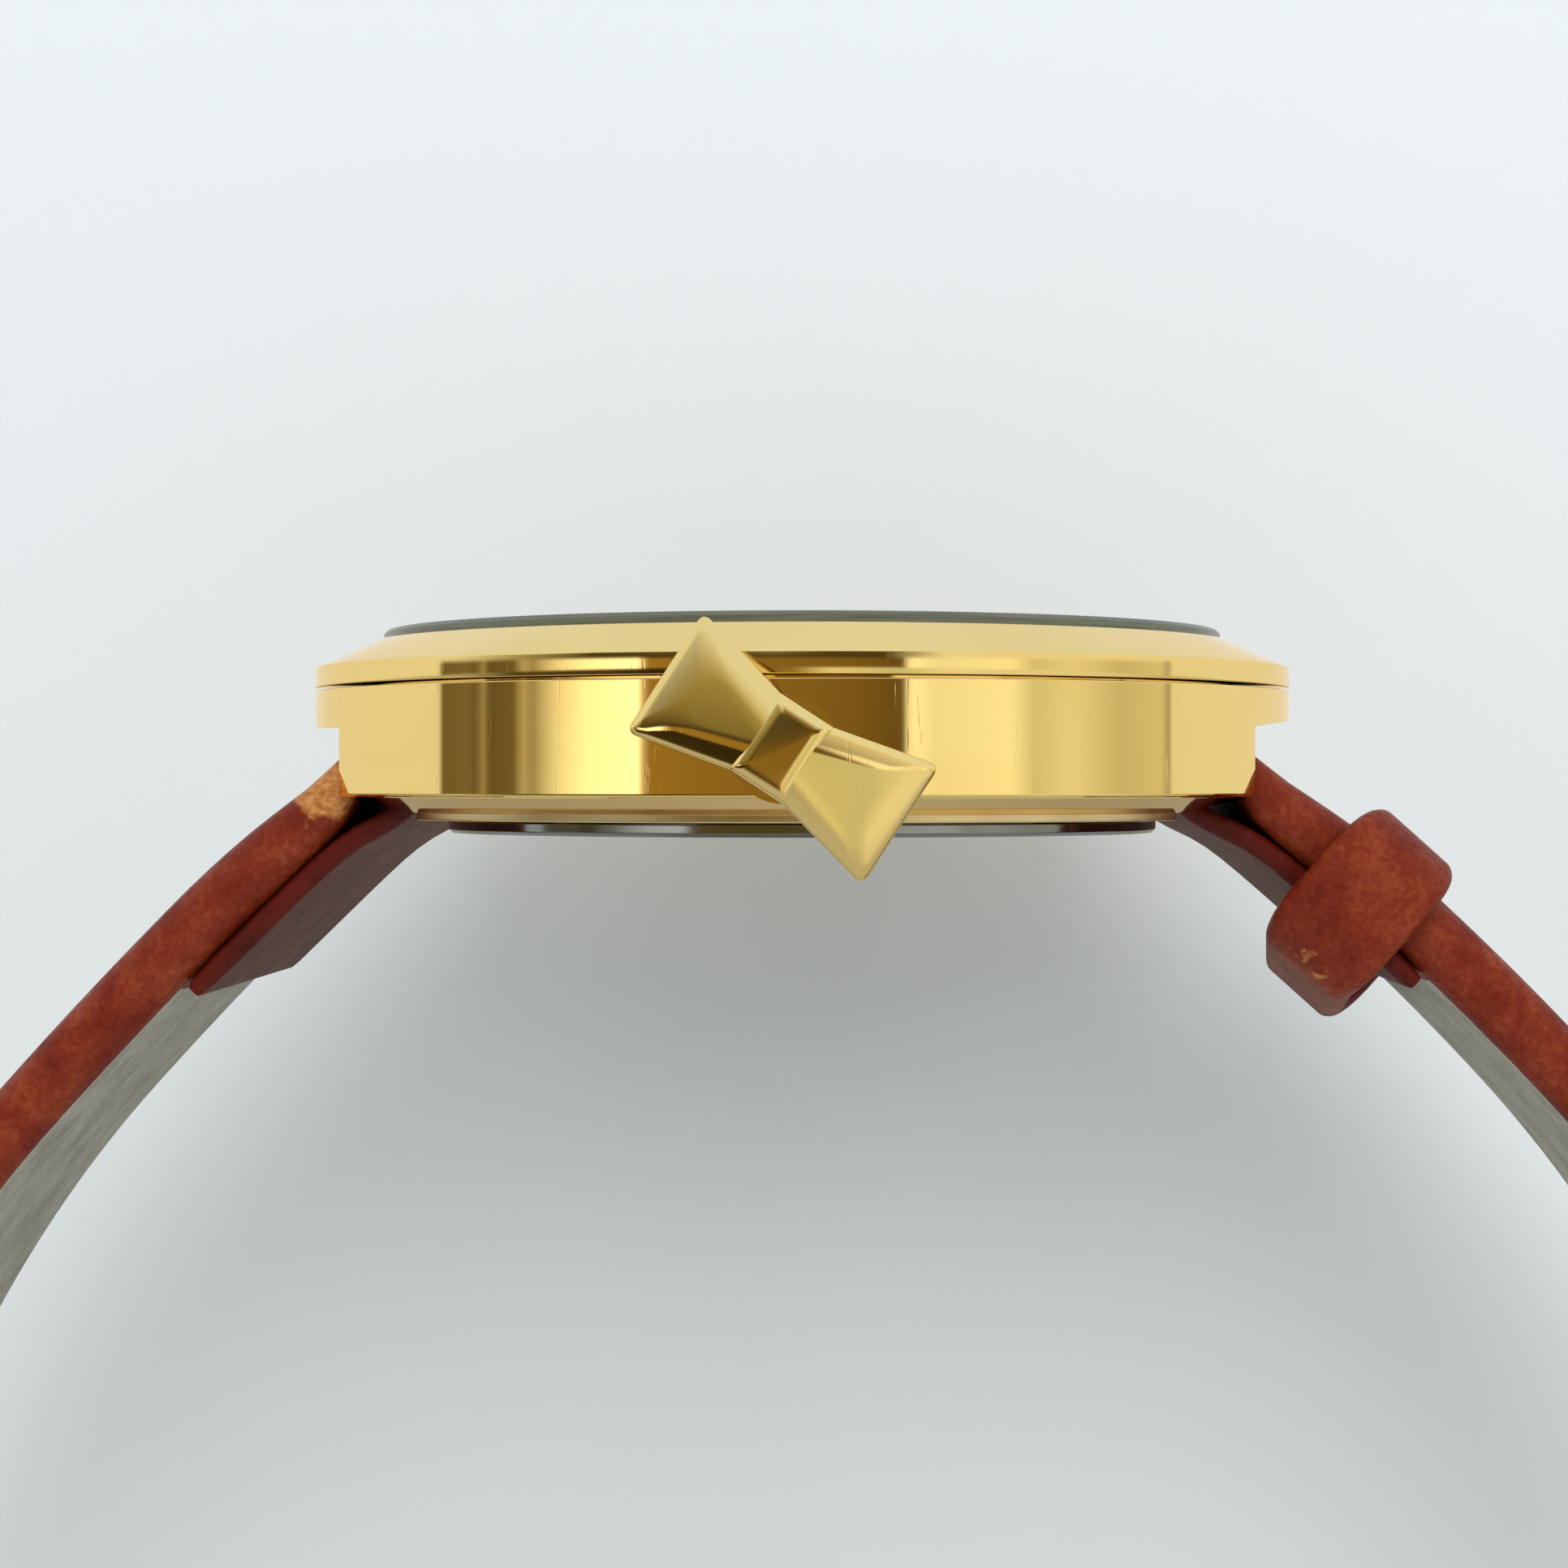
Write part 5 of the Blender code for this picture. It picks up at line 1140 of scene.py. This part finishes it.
bar_spot = on_route(short_route, SHORT_LENGTH, BUCKLE_BAR_RISE)
BUCKLE_X = BAR_X + bar_spot.x
BUCKLE_Z = BAR_Z + bar_spot.y
slot_low = (BUCKLE_X - SLOT_REACH, -TONGUE_SLOT, BUCKLE_Z - SLOT_REACH)
slot_high = (BUCKLE_X + SLOT_REACH, TONGUE_SLOT, BUCKLE_Z + SLOT_REACH)
for piece in (long_leather, long_nubuck):
    for count in range(HOLE_COUNT):
        cut_away(piece, strap_hole(LONG_LENGTH - FIRST_HOLE - count * HOLE_PITCH))
for piece in (short_leather, short_nubuck):
    cut_away(piece, block(slot_low, slot_high))
fit_piece(long_leather, "long_strap", "long_strap")
fit_piece(long_nubuck, "long_strap_lining", "long_strap")
fit_piece(short_leather, "short_strap", "short_strap")
fit_piece(short_nubuck, "short_strap_lining", "short_strap")

# Keepers: bands of the same leather closed round the short strap. The loose one slides, and the fixed
# one is sewn down by the buckle. Their edges are rolled and their corners are soft.
KEEPER_WIDTH = 3.9
KEEPER_WALL = 0.9
KEEPER_GAP = 0.2
KEEPER_CORNER = 1.5
KEEPER_PULL = 0.10
LOOSE_AT = 6.2
LOOSE_SKEW = 0.17
FIXED_AT = SHORT_LENGTH - 10.0


def keeper_band(name, node, body, distance, room, strap_low, skew):
    """A band swept round the strap, its section rounded at every edge."""
    half = half_width(distance, SHORT_LENGTH) + KEEPER_GAP + KEEPER_WALL / 2
    low = strap_low - KEEPER_GAP - KEEPER_WALL / 2
    high = low + room + KEEPER_WALL
    path = eased_box(half, low, high, KEEPER_CORNER, 8)
    section = rolled_section(KEEPER_WIDTH / 2, KEEPER_WALL)
    middle = on_route(short_route, distance, 0.0)
    ahead = on_route(short_route, distance + 1.0, 0.0) - middle
    rise = on_route(short_route, distance, 1.0) - middle
    loops = []
    for count, spot in enumerate(path):
        onward = (path[(count + 1) % len(path)] - path[count - 1]).normalized()
        outward = Vector((onward.y, -onward.x))
        loop = []
        for along, lift in section:
            across, up = spot + outward * lift
            pull = 1.0 - KEEPER_PULL * abs((2.0 * up - low - high) / (high - low)) ** 4
            place = middle + ahead * (along * pull + skew * (across + half)) + rise * up
            loop.append((BAR_X + place.x, across, BAR_Z + place.y))
        loops.append(loop)
    band = stack_loops(bmesh.new(), loops, ring=True)
    fit_piece(make_piece(name, band, strap_leather, 60.0), node, body)


keeper_band("loose_band", "loose_keeper", "loose_keeper", LOOSE_AT, 4.1, -1.85, LOOSE_SKEW)
keeper_band("fixed_band", "fixed_keeper", "short_strap", FIXED_AT, 4.7, -1.1, 0.0)

# Buckle: a cast gold frame on a steel bar through the strap's end, with a bent gold tongue whose tip
# rests on the frame. Here it lies folded under the strap with its front down.
BUCKLE_LENGTH = 10.5
BUCKLE_FRONT = 2.2
BUCKLE_ARM = 1.8
BUCKLE_HALF = 0.8
BUCKLE_EDGE = 0.42
ARM_BACK = -1.3
ARM_INNER = END_WIDTH / 2 + 0.4
ARM_OUTER = ARM_INNER + BUCKLE_ARM
FRONT_INNER = BUCKLE_LENGTH - BUCKLE_FRONT
BUCKLE_BAR_R = 0.7
BUCKLE_PIVOT_R = 0.45
BAR_END = ARM_OUTER - 0.2
BAR_STEP = ARM_INNER - 0.05
EYE_R = BUCKLE_BAR_R + 0.05
EYE_WALL = 0.6
TONGUE_HALF = 0.85
folded = Matrix.Translation((BUCKLE_X, 0.0, BUCKLE_Z)) @ Matrix.Rotation(math.pi, 4, "Y")

buckle_line = eased(
    [
        (ARM_BACK, -ARM_OUTER, 0.7),
        (BUCKLE_LENGTH, -ARM_OUTER, 1.7),
        (BUCKLE_LENGTH, ARM_OUTER, 1.7),
        (ARM_BACK, ARM_OUTER, 0.7),
        (ARM_BACK, ARM_INNER, 0.5),
        (FRONT_INNER, ARM_INNER, 0.8),
        (FRONT_INNER, -ARM_INNER, 0.8),
        (ARM_BACK, -ARM_INNER, 0.5),
    ],
    6,
)
buckle_faces = [[(x, y, rise) for x, y in buckle_line] for rise in (-BUCKLE_HALF, BUCKLE_HALF)]
frame_body = moved(stack_loops(bmesh.new(), buckle_faces), folded)
buckle_cast = make_piece("buckle_cast", frame_body, case_gold, 60.0)
frame_edge = buckle_cast.modifiers.new("round_edge", "BEVEL")
frame_edge.width = BUCKLE_EDGE * MM
frame_edge.segments = 5
frame_edge.limit_method = "ANGLE"
frame_edge.angle_limit = math.radians(50.0)
settle(buckle_cast)
buckle_cast.data.shade_smooth()
fit_piece(buckle_cast, "buckle_frame", "buckle_frame")

bar_corners = [
    (0.0, -BAR_END, 0.0),
    (BUCKLE_PIVOT_R, -BAR_END, 0.1),
    (BUCKLE_PIVOT_R, -BAR_STEP, 0.0),
    (BUCKLE_BAR_R, -BAR_STEP, 0.08),
    (BUCKLE_BAR_R, BAR_STEP, 0.08),
    (BUCKLE_PIVOT_R, BAR_STEP, 0.0),
    (BUCKLE_PIVOT_R, BAR_END, 0.1),
    (0.0, BAR_END, 0.0),
]
across_strap = folded @ Matrix.Rotation(math.radians(90.0), 4, "X")
bar_body = moved(turned_body(eased(bar_corners), 48), across_strap)
buckle_pin = make_piece("buckle_pin", bar_body, stocks["spring_steel"])
fit_piece(buckle_pin, "buckle_bar", "short_strap")

eye_corners = [
    (EYE_R, -TONGUE_HALF, 0.08),
    (EYE_R + EYE_WALL, -TONGUE_HALF, 0.15),
    (EYE_R + EYE_WALL, TONGUE_HALF, 0.15),
    (EYE_R, TONGUE_HALF, 0.08),
]
tongue_body = turned_body(eased(eye_corners), 48)
bmesh.ops.rotate(tongue_body, matrix=Matrix.Rotation(math.radians(90.0), 3, "X"), verts=tongue_body.verts)
blade_rows = (
    (0.25, 1.06, 0.46, 1.0),
    (2.0, 1.16, 0.56, 1.0),
    (4.5, 1.20, 0.66, 1.0),
    (7.4, 1.20, 0.68, 1.0),
    (9.0, 1.14, 0.56, 1.0),
    (9.9, 1.08, 0.42, 0.9),
    (10.1, 1.06, 0.30, 0.9),
)
blade_loops = []
for along, lift, thickness, width in blade_rows:
    half = TONGUE_HALF * width
    low = lift - thickness / 2
    high = lift + thickness / 2
    section = eased([(half, low, 0.1), (half, high, 0.14), (-half, high, 0.14), (-half, low, 0.1)])
    blade_loops.append([(along, across, up) for across, up in section])
stack_loops(tongue_body, blade_loops)
buckle_prong = make_piece("buckle_prong", moved(tongue_body, folded), case_gold, 50.0)
fit_piece(buckle_prong, "buckle_tongue", "buckle_tongue")

# Stage: a pale sweep of card that stands close behind the watch and curves forward into a floor, a
# room whose bright and dark walls show only in reflections, one soft lamp above and in front, and
# the camera level with the case, a hand's breadth away.
SWEEP_Y = 19.0
FLOOR_Z = cad_low.z / MM - 0.02
BACK_FLOOR_Z = FLOOR_Z - 0.02
SWEEP_R = 8.0
SWEEP_STEPS = 12
SWEEP_HALF = 600.0
SWEEP_TOP = 600.0
FLOOR_FRONT = -900.0
CARD_PALE = (0.80, 0.825, 0.83)

card, card_tree, card_shader = finish_material(
    "pale_card", {"Base Color": (*CARD_PALE, 1.0), "Roughness": 0.9, "Specular IOR Level": 0.1}
)
card_side = add_node(card_tree, "ShaderNodeNewGeometry")
card_clear = add_node(card_tree, "ShaderNodeBsdfTransparent")
card_mix = add_node(card_tree, "ShaderNodeMixShader")
wire(
    card_tree,
    (card_side, "Backfacing", card_mix, "Fac"),
    (card_shader, "BSDF", card_mix, 1),
    (card_clear, "BSDF", card_mix, 2),
    (card_mix, "Shader", card_tree.nodes["Material Output"], "Surface"),
)
sweep_line = [(FLOOR_FRONT, FLOOR_Z)]
for step in range(SWEEP_STEPS + 1):
    angle = math.radians(-90.0 + 90.0 * step / SWEEP_STEPS)
    sweep_y = SWEEP_Y - SWEEP_R + SWEEP_R * math.cos(angle)
    sweep_line.append((sweep_y, FLOOR_Z + SWEEP_R + SWEEP_R * math.sin(angle)))
sweep_line.append((SWEEP_Y, SWEEP_TOP))
sweep_body = bmesh.new()
sweep_left = [sweep_body.verts.new((-SWEEP_HALF, y, z)) for y, z in sweep_line]
sweep_right = [sweep_body.verts.new((SWEEP_HALF, y, z)) for y, z in sweep_line]
for count in range(len(sweep_line) - 1):
    corners = (sweep_left[count], sweep_right[count], sweep_right[count + 1], sweep_left[count + 1])
    sweep_body.faces.new(corners)
back_floor = [(-SWEEP_HALF, SWEEP_Y - SWEEP_R), (SWEEP_HALF, SWEEP_Y - SWEEP_R)]
back_floor += [(SWEEP_HALF, -FLOOR_FRONT), (-SWEEP_HALF, -FLOOR_FRONT)]
sweep_body.faces.new([sweep_body.verts.new((x, y, BACK_FLOOR_Z)) for x, y in back_floor])
bmesh.ops.scale(sweep_body, vec=(MM, MM, MM), verts=sweep_body.verts)
for face in sweep_body.faces:
    face.smooth = True
sweep_mesh = bpy.data.meshes.new("card_sweep")
sweep_body.to_mesh(sweep_mesh)
sweep_mesh.materials.append(card)
card_sweep = add_object("card_sweep", sweep_mesh)
card_sweep.visible_glossy = False

PALE_WALL = (0.84, 0.86, 0.86)
ROOM_BANDS = (
    (-180.0, PALE_WALL),
    (-88.5, PALE_WALL),
    (-87.5, (0.17, 0.135, 0.06)),
    (-79.0, (0.21, 0.165, 0.08)),
    (-76.5, (0.13, 0.100, 0.04)),
    (-75.0, (0.42, 0.370, 0.24)),
    (-73.0, (0.14, 0.110, 0.05)),
    (-66.0, (0.18, 0.140, 0.06)),
    (-63.5, (0.52, 0.480, 0.36)),
    (-61.0, (0.34, 0.300, 0.20)),
    (-58.0, (0.64, 0.610, 0.50)),
    (-55.0, (0.90, 0.890, 0.78)),
    (-48.0, (1.35, 1.350, 1.22)),
    (-35.0, (1.65, 1.650, 1.65)),
    (-33.4, (0.34, 0.215, 0.05)),
    (-12.0, (0.27, 0.175, 0.04)),
    (14.0, (0.20, 0.125, 0.03)),
    (24.0, (0.14, 0.085, 0.02)),
    (25.6, (1.20, 1.200, 1.15)),
    (31.0, (0.95, 0.950, 0.86)),
    (49.0, (1.06, 1.060, 0.97)),
    (55.0, (0.70, 0.690, 0.56)),
    (64.0, (0.86, 0.850, 0.72)),
    (78.0, (0.62, 0.600, 0.48)),
    (91.0, (0.74, 0.730, 0.62)),
    (92.5, (0.30, 0.270, 0.19)),
    (94.0, PALE_WALL),
    (180.0, PALE_WALL),
)
UPPER_BANDS = (
    (-180.0, PALE_WALL),
    (-84.0, PALE_WALL),
    (-60.0, (0.90, 0.880, 0.74)),
    (-46.0, (0.16, 0.130, 0.05)),
    (-32.0, (0.33, 0.285, 0.12)),
    (-18.0, (0.49, 0.440, 0.21)),
    (-4.0, (0.80, 0.760, 0.54)),
    (6.0, (0.30, 0.200, 0.06)),
    (22.0, (0.24, 0.150, 0.04)),
    (34.0, (0.90, 0.880, 0.80)),
    (180.0, PALE_WALL),
)
DUSK_BANDS = (
    (-180.0, PALE_WALL),
    (-84.0, PALE_WALL),
    (-62.0, (0.30, 0.270, 0.18)),
    (-46.0, (0.06, 0.045, 0.02)),
    (20.0, (0.06, 0.045, 0.02)),
    (34.0, (0.90, 0.880, 0.80)),
    (180.0, PALE_WALL),
)
TABLE_BANDS = (
    (-180.0, (0.36, 0.345, 0.28)),
    (-110.0, (0.40, 0.385, 0.31)),
    (-84.0, (0.52, 0.53, 0.50)),
    (-66.0, (0.10, 0.075, 0.03)),
    (-30.0, (0.035, 0.022, 0.008)),
    (-14.0, (0.12, 0.075, 0.02)),
    (0.0, (0.30, 0.210, 0.08)),
    (8.0, (0.80, 0.790, 0.60)),
    (22.0, (0.62, 0.630, 0.50)),
    (34.0, (0.86, 0.860, 0.76)),
    (70.0, (0.80, 0.800, 0.76)),
    (110.0, (0.46, 0.450, 0.36)),
    (180.0, (0.36, 0.345, 0.28)),
)
GROUND_GREY = (0.52, 0.525, 0.54, 1.0)
CEILING_BLUE = (0.80, 0.88, 1.0, 1.0)
LIGHT_BELOW = (0.20, 0.208, 0.21, 1.0)
LIGHT_ABOVE = (0.71, 0.745, 0.755, 1.0)
BACKDROP_PALE = (0.80, 0.83, 0.84, 1.0)
room = bpy.data.worlds.new("studio_room")
bpy.context.scene.world = room
room.use_nodes = True
room_tree = room.node_tree
room_light = room_tree.nodes["Background"]
room_shown = add_node(room_tree, "ShaderNodeBackground")
room_backdrop = add_node(room_tree, "ShaderNodeBackground", {"Color": BACKDROP_PALE})
room_coords = add_node(room_tree, "ShaderNodeTexCoord")
room_split = add_node(room_tree, "ShaderNodeSeparateXYZ")
room_front = add_node(room_tree, "ShaderNodeMath", {1: -1.0}, operation="MULTIPLY")
room_turn = add_node(room_tree, "ShaderNodeMath", operation="ARCTAN2")
room_share = add_node(room_tree, "ShaderNodeMapRange", {"From Min": -math.pi, "From Max": math.pi})
room_path = add_node(room_tree, "ShaderNodeLightPath")
room_pick = add_node(room_tree, "ShaderNodeMixShader")
room_seen = add_node(room_tree, "ShaderNodeMixShader")


def room_blend(low, high, colours=None):
    """A mix of two colours, by the height of the view from low to high."""
    heights = {"From Min": low, "From Max": high}
    height = add_node(room_tree, "ShaderNodeMapRange", heights, interpolation_type="SMOOTHSTEP")
    mixed = add_node(room_tree, "ShaderNodeMix", colours, data_type="RGBA")
    wire(room_tree, (room_split, "Z", height, "Value"), (height, "Result", mixed, "Factor"))
    return mixed


ground_mix = room_blend(-0.56, -0.36, {MIX_FIRST: GROUND_GREY})
table_mix = room_blend(-0.07, -0.03)
upper_mix = room_blend(0.05, 0.11)
dusk_mix = room_blend(0.07, 0.36)
ceiling_mix = room_blend(0.27, 0.58, {MIX_SECOND: CEILING_BLUE})
light_mix = room_blend(-0.6, 0.5, {MIX_FIRST: LIGHT_BELOW, MIX_SECOND: LIGHT_ABOVE})
wire(
    room_tree,
    (room_coords, "Generated", room_split, 0),
    (room_split, "Y", room_front, 0),
    (room_split, "X", room_turn, 0),
    (room_front, "Value", room_turn, 1),
    (room_turn, "Value", room_share, "Value"),
    (ground_mix, MIX_RESULT, table_mix, MIX_FIRST),
    (table_mix, MIX_RESULT, upper_mix, MIX_FIRST),
    (dusk_mix, MIX_RESULT, upper_mix, MIX_SECOND),
    (upper_mix, MIX_RESULT, ceiling_mix, MIX_FIRST),
    (ceiling_mix, MIX_RESULT, room_shown, "Color"),
    (light_mix, MIX_RESULT, room_light, "Color"),
    (room_path, "Is Glossy Ray", room_pick, "Fac"),
    (room_light, "Background", room_pick, 1),
    (room_shown, "Background", room_pick, 2),
    (room_path, "Is Camera Ray", room_seen, "Fac"),
    (room_pick, "Shader", room_seen, 1),
    (room_backdrop, "Background", room_seen, 2),
    (room_seen, "Shader", room_tree.nodes["World Output"], "Surface"),
)
for bands, mixed, socket in (
    (TABLE_BANDS, ground_mix, MIX_SECOND),
    (ROOM_BANDS, table_mix, MIX_SECOND),
    (DUSK_BANDS, dusk_mix, MIX_FIRST),
    (UPPER_BANDS, dusk_mix, MIX_SECOND),
):
    stops = [((place + 180.0) / 360.0, colour) for place, colour in bands]
    tint(room_tree, room_share, "Result", stops, mixed, socket)

LAMP_AT = (30.0, -280.0, 170.0)
LAMP_SIZE = 240.0
LAMP_WATTS = 0.54
lamp_data = bpy.data.lights.new("soft_lamp", "AREA")
lamp_data.shape = "DISK"
lamp_data.size = LAMP_SIZE * MM
lamp_data.energy = LAMP_WATTS
lamp = add_object("soft_lamp", lamp_data)
lamp.location = Vector(LAMP_AT) * MM
lamp.rotation_euler = (-Vector(LAMP_AT)).to_track_quat("-Z", "Y").to_euler()
lamp.visible_glossy = False

CAMERA_DISTANCE = 105.4
CAMERA_TURN = math.radians(2.0)
CAMERA_LEFT = 0.63
CAMERA_Z = 1.684
CAMERA_LENS = 68.5
CAMERA_SENSOR = 36.0
CAMERA_NEAR = 0.001
camera_data = bpy.data.cameras.new("camera")
camera_data.lens = CAMERA_LENS
camera_data.sensor_width = CAMERA_SENSOR
camera_data.clip_start = CAMERA_NEAR
camera = add_object("camera", camera_data)
camera_right = Vector((math.cos(CAMERA_TURN), math.sin(CAMERA_TURN), 0.0))
camera_back = Vector((math.sin(CAMERA_TURN), -math.cos(CAMERA_TURN), 0.0))
camera_spot = camera_back * CAMERA_DISTANCE - camera_right * CAMERA_LEFT + Vector((0.0, 0.0, CAMERA_Z))
camera.location = camera_spot * MM
camera.rotation_euler = (math.radians(90.0), 0.0, CAMERA_TURN)
bpy.context.scene.camera = camera
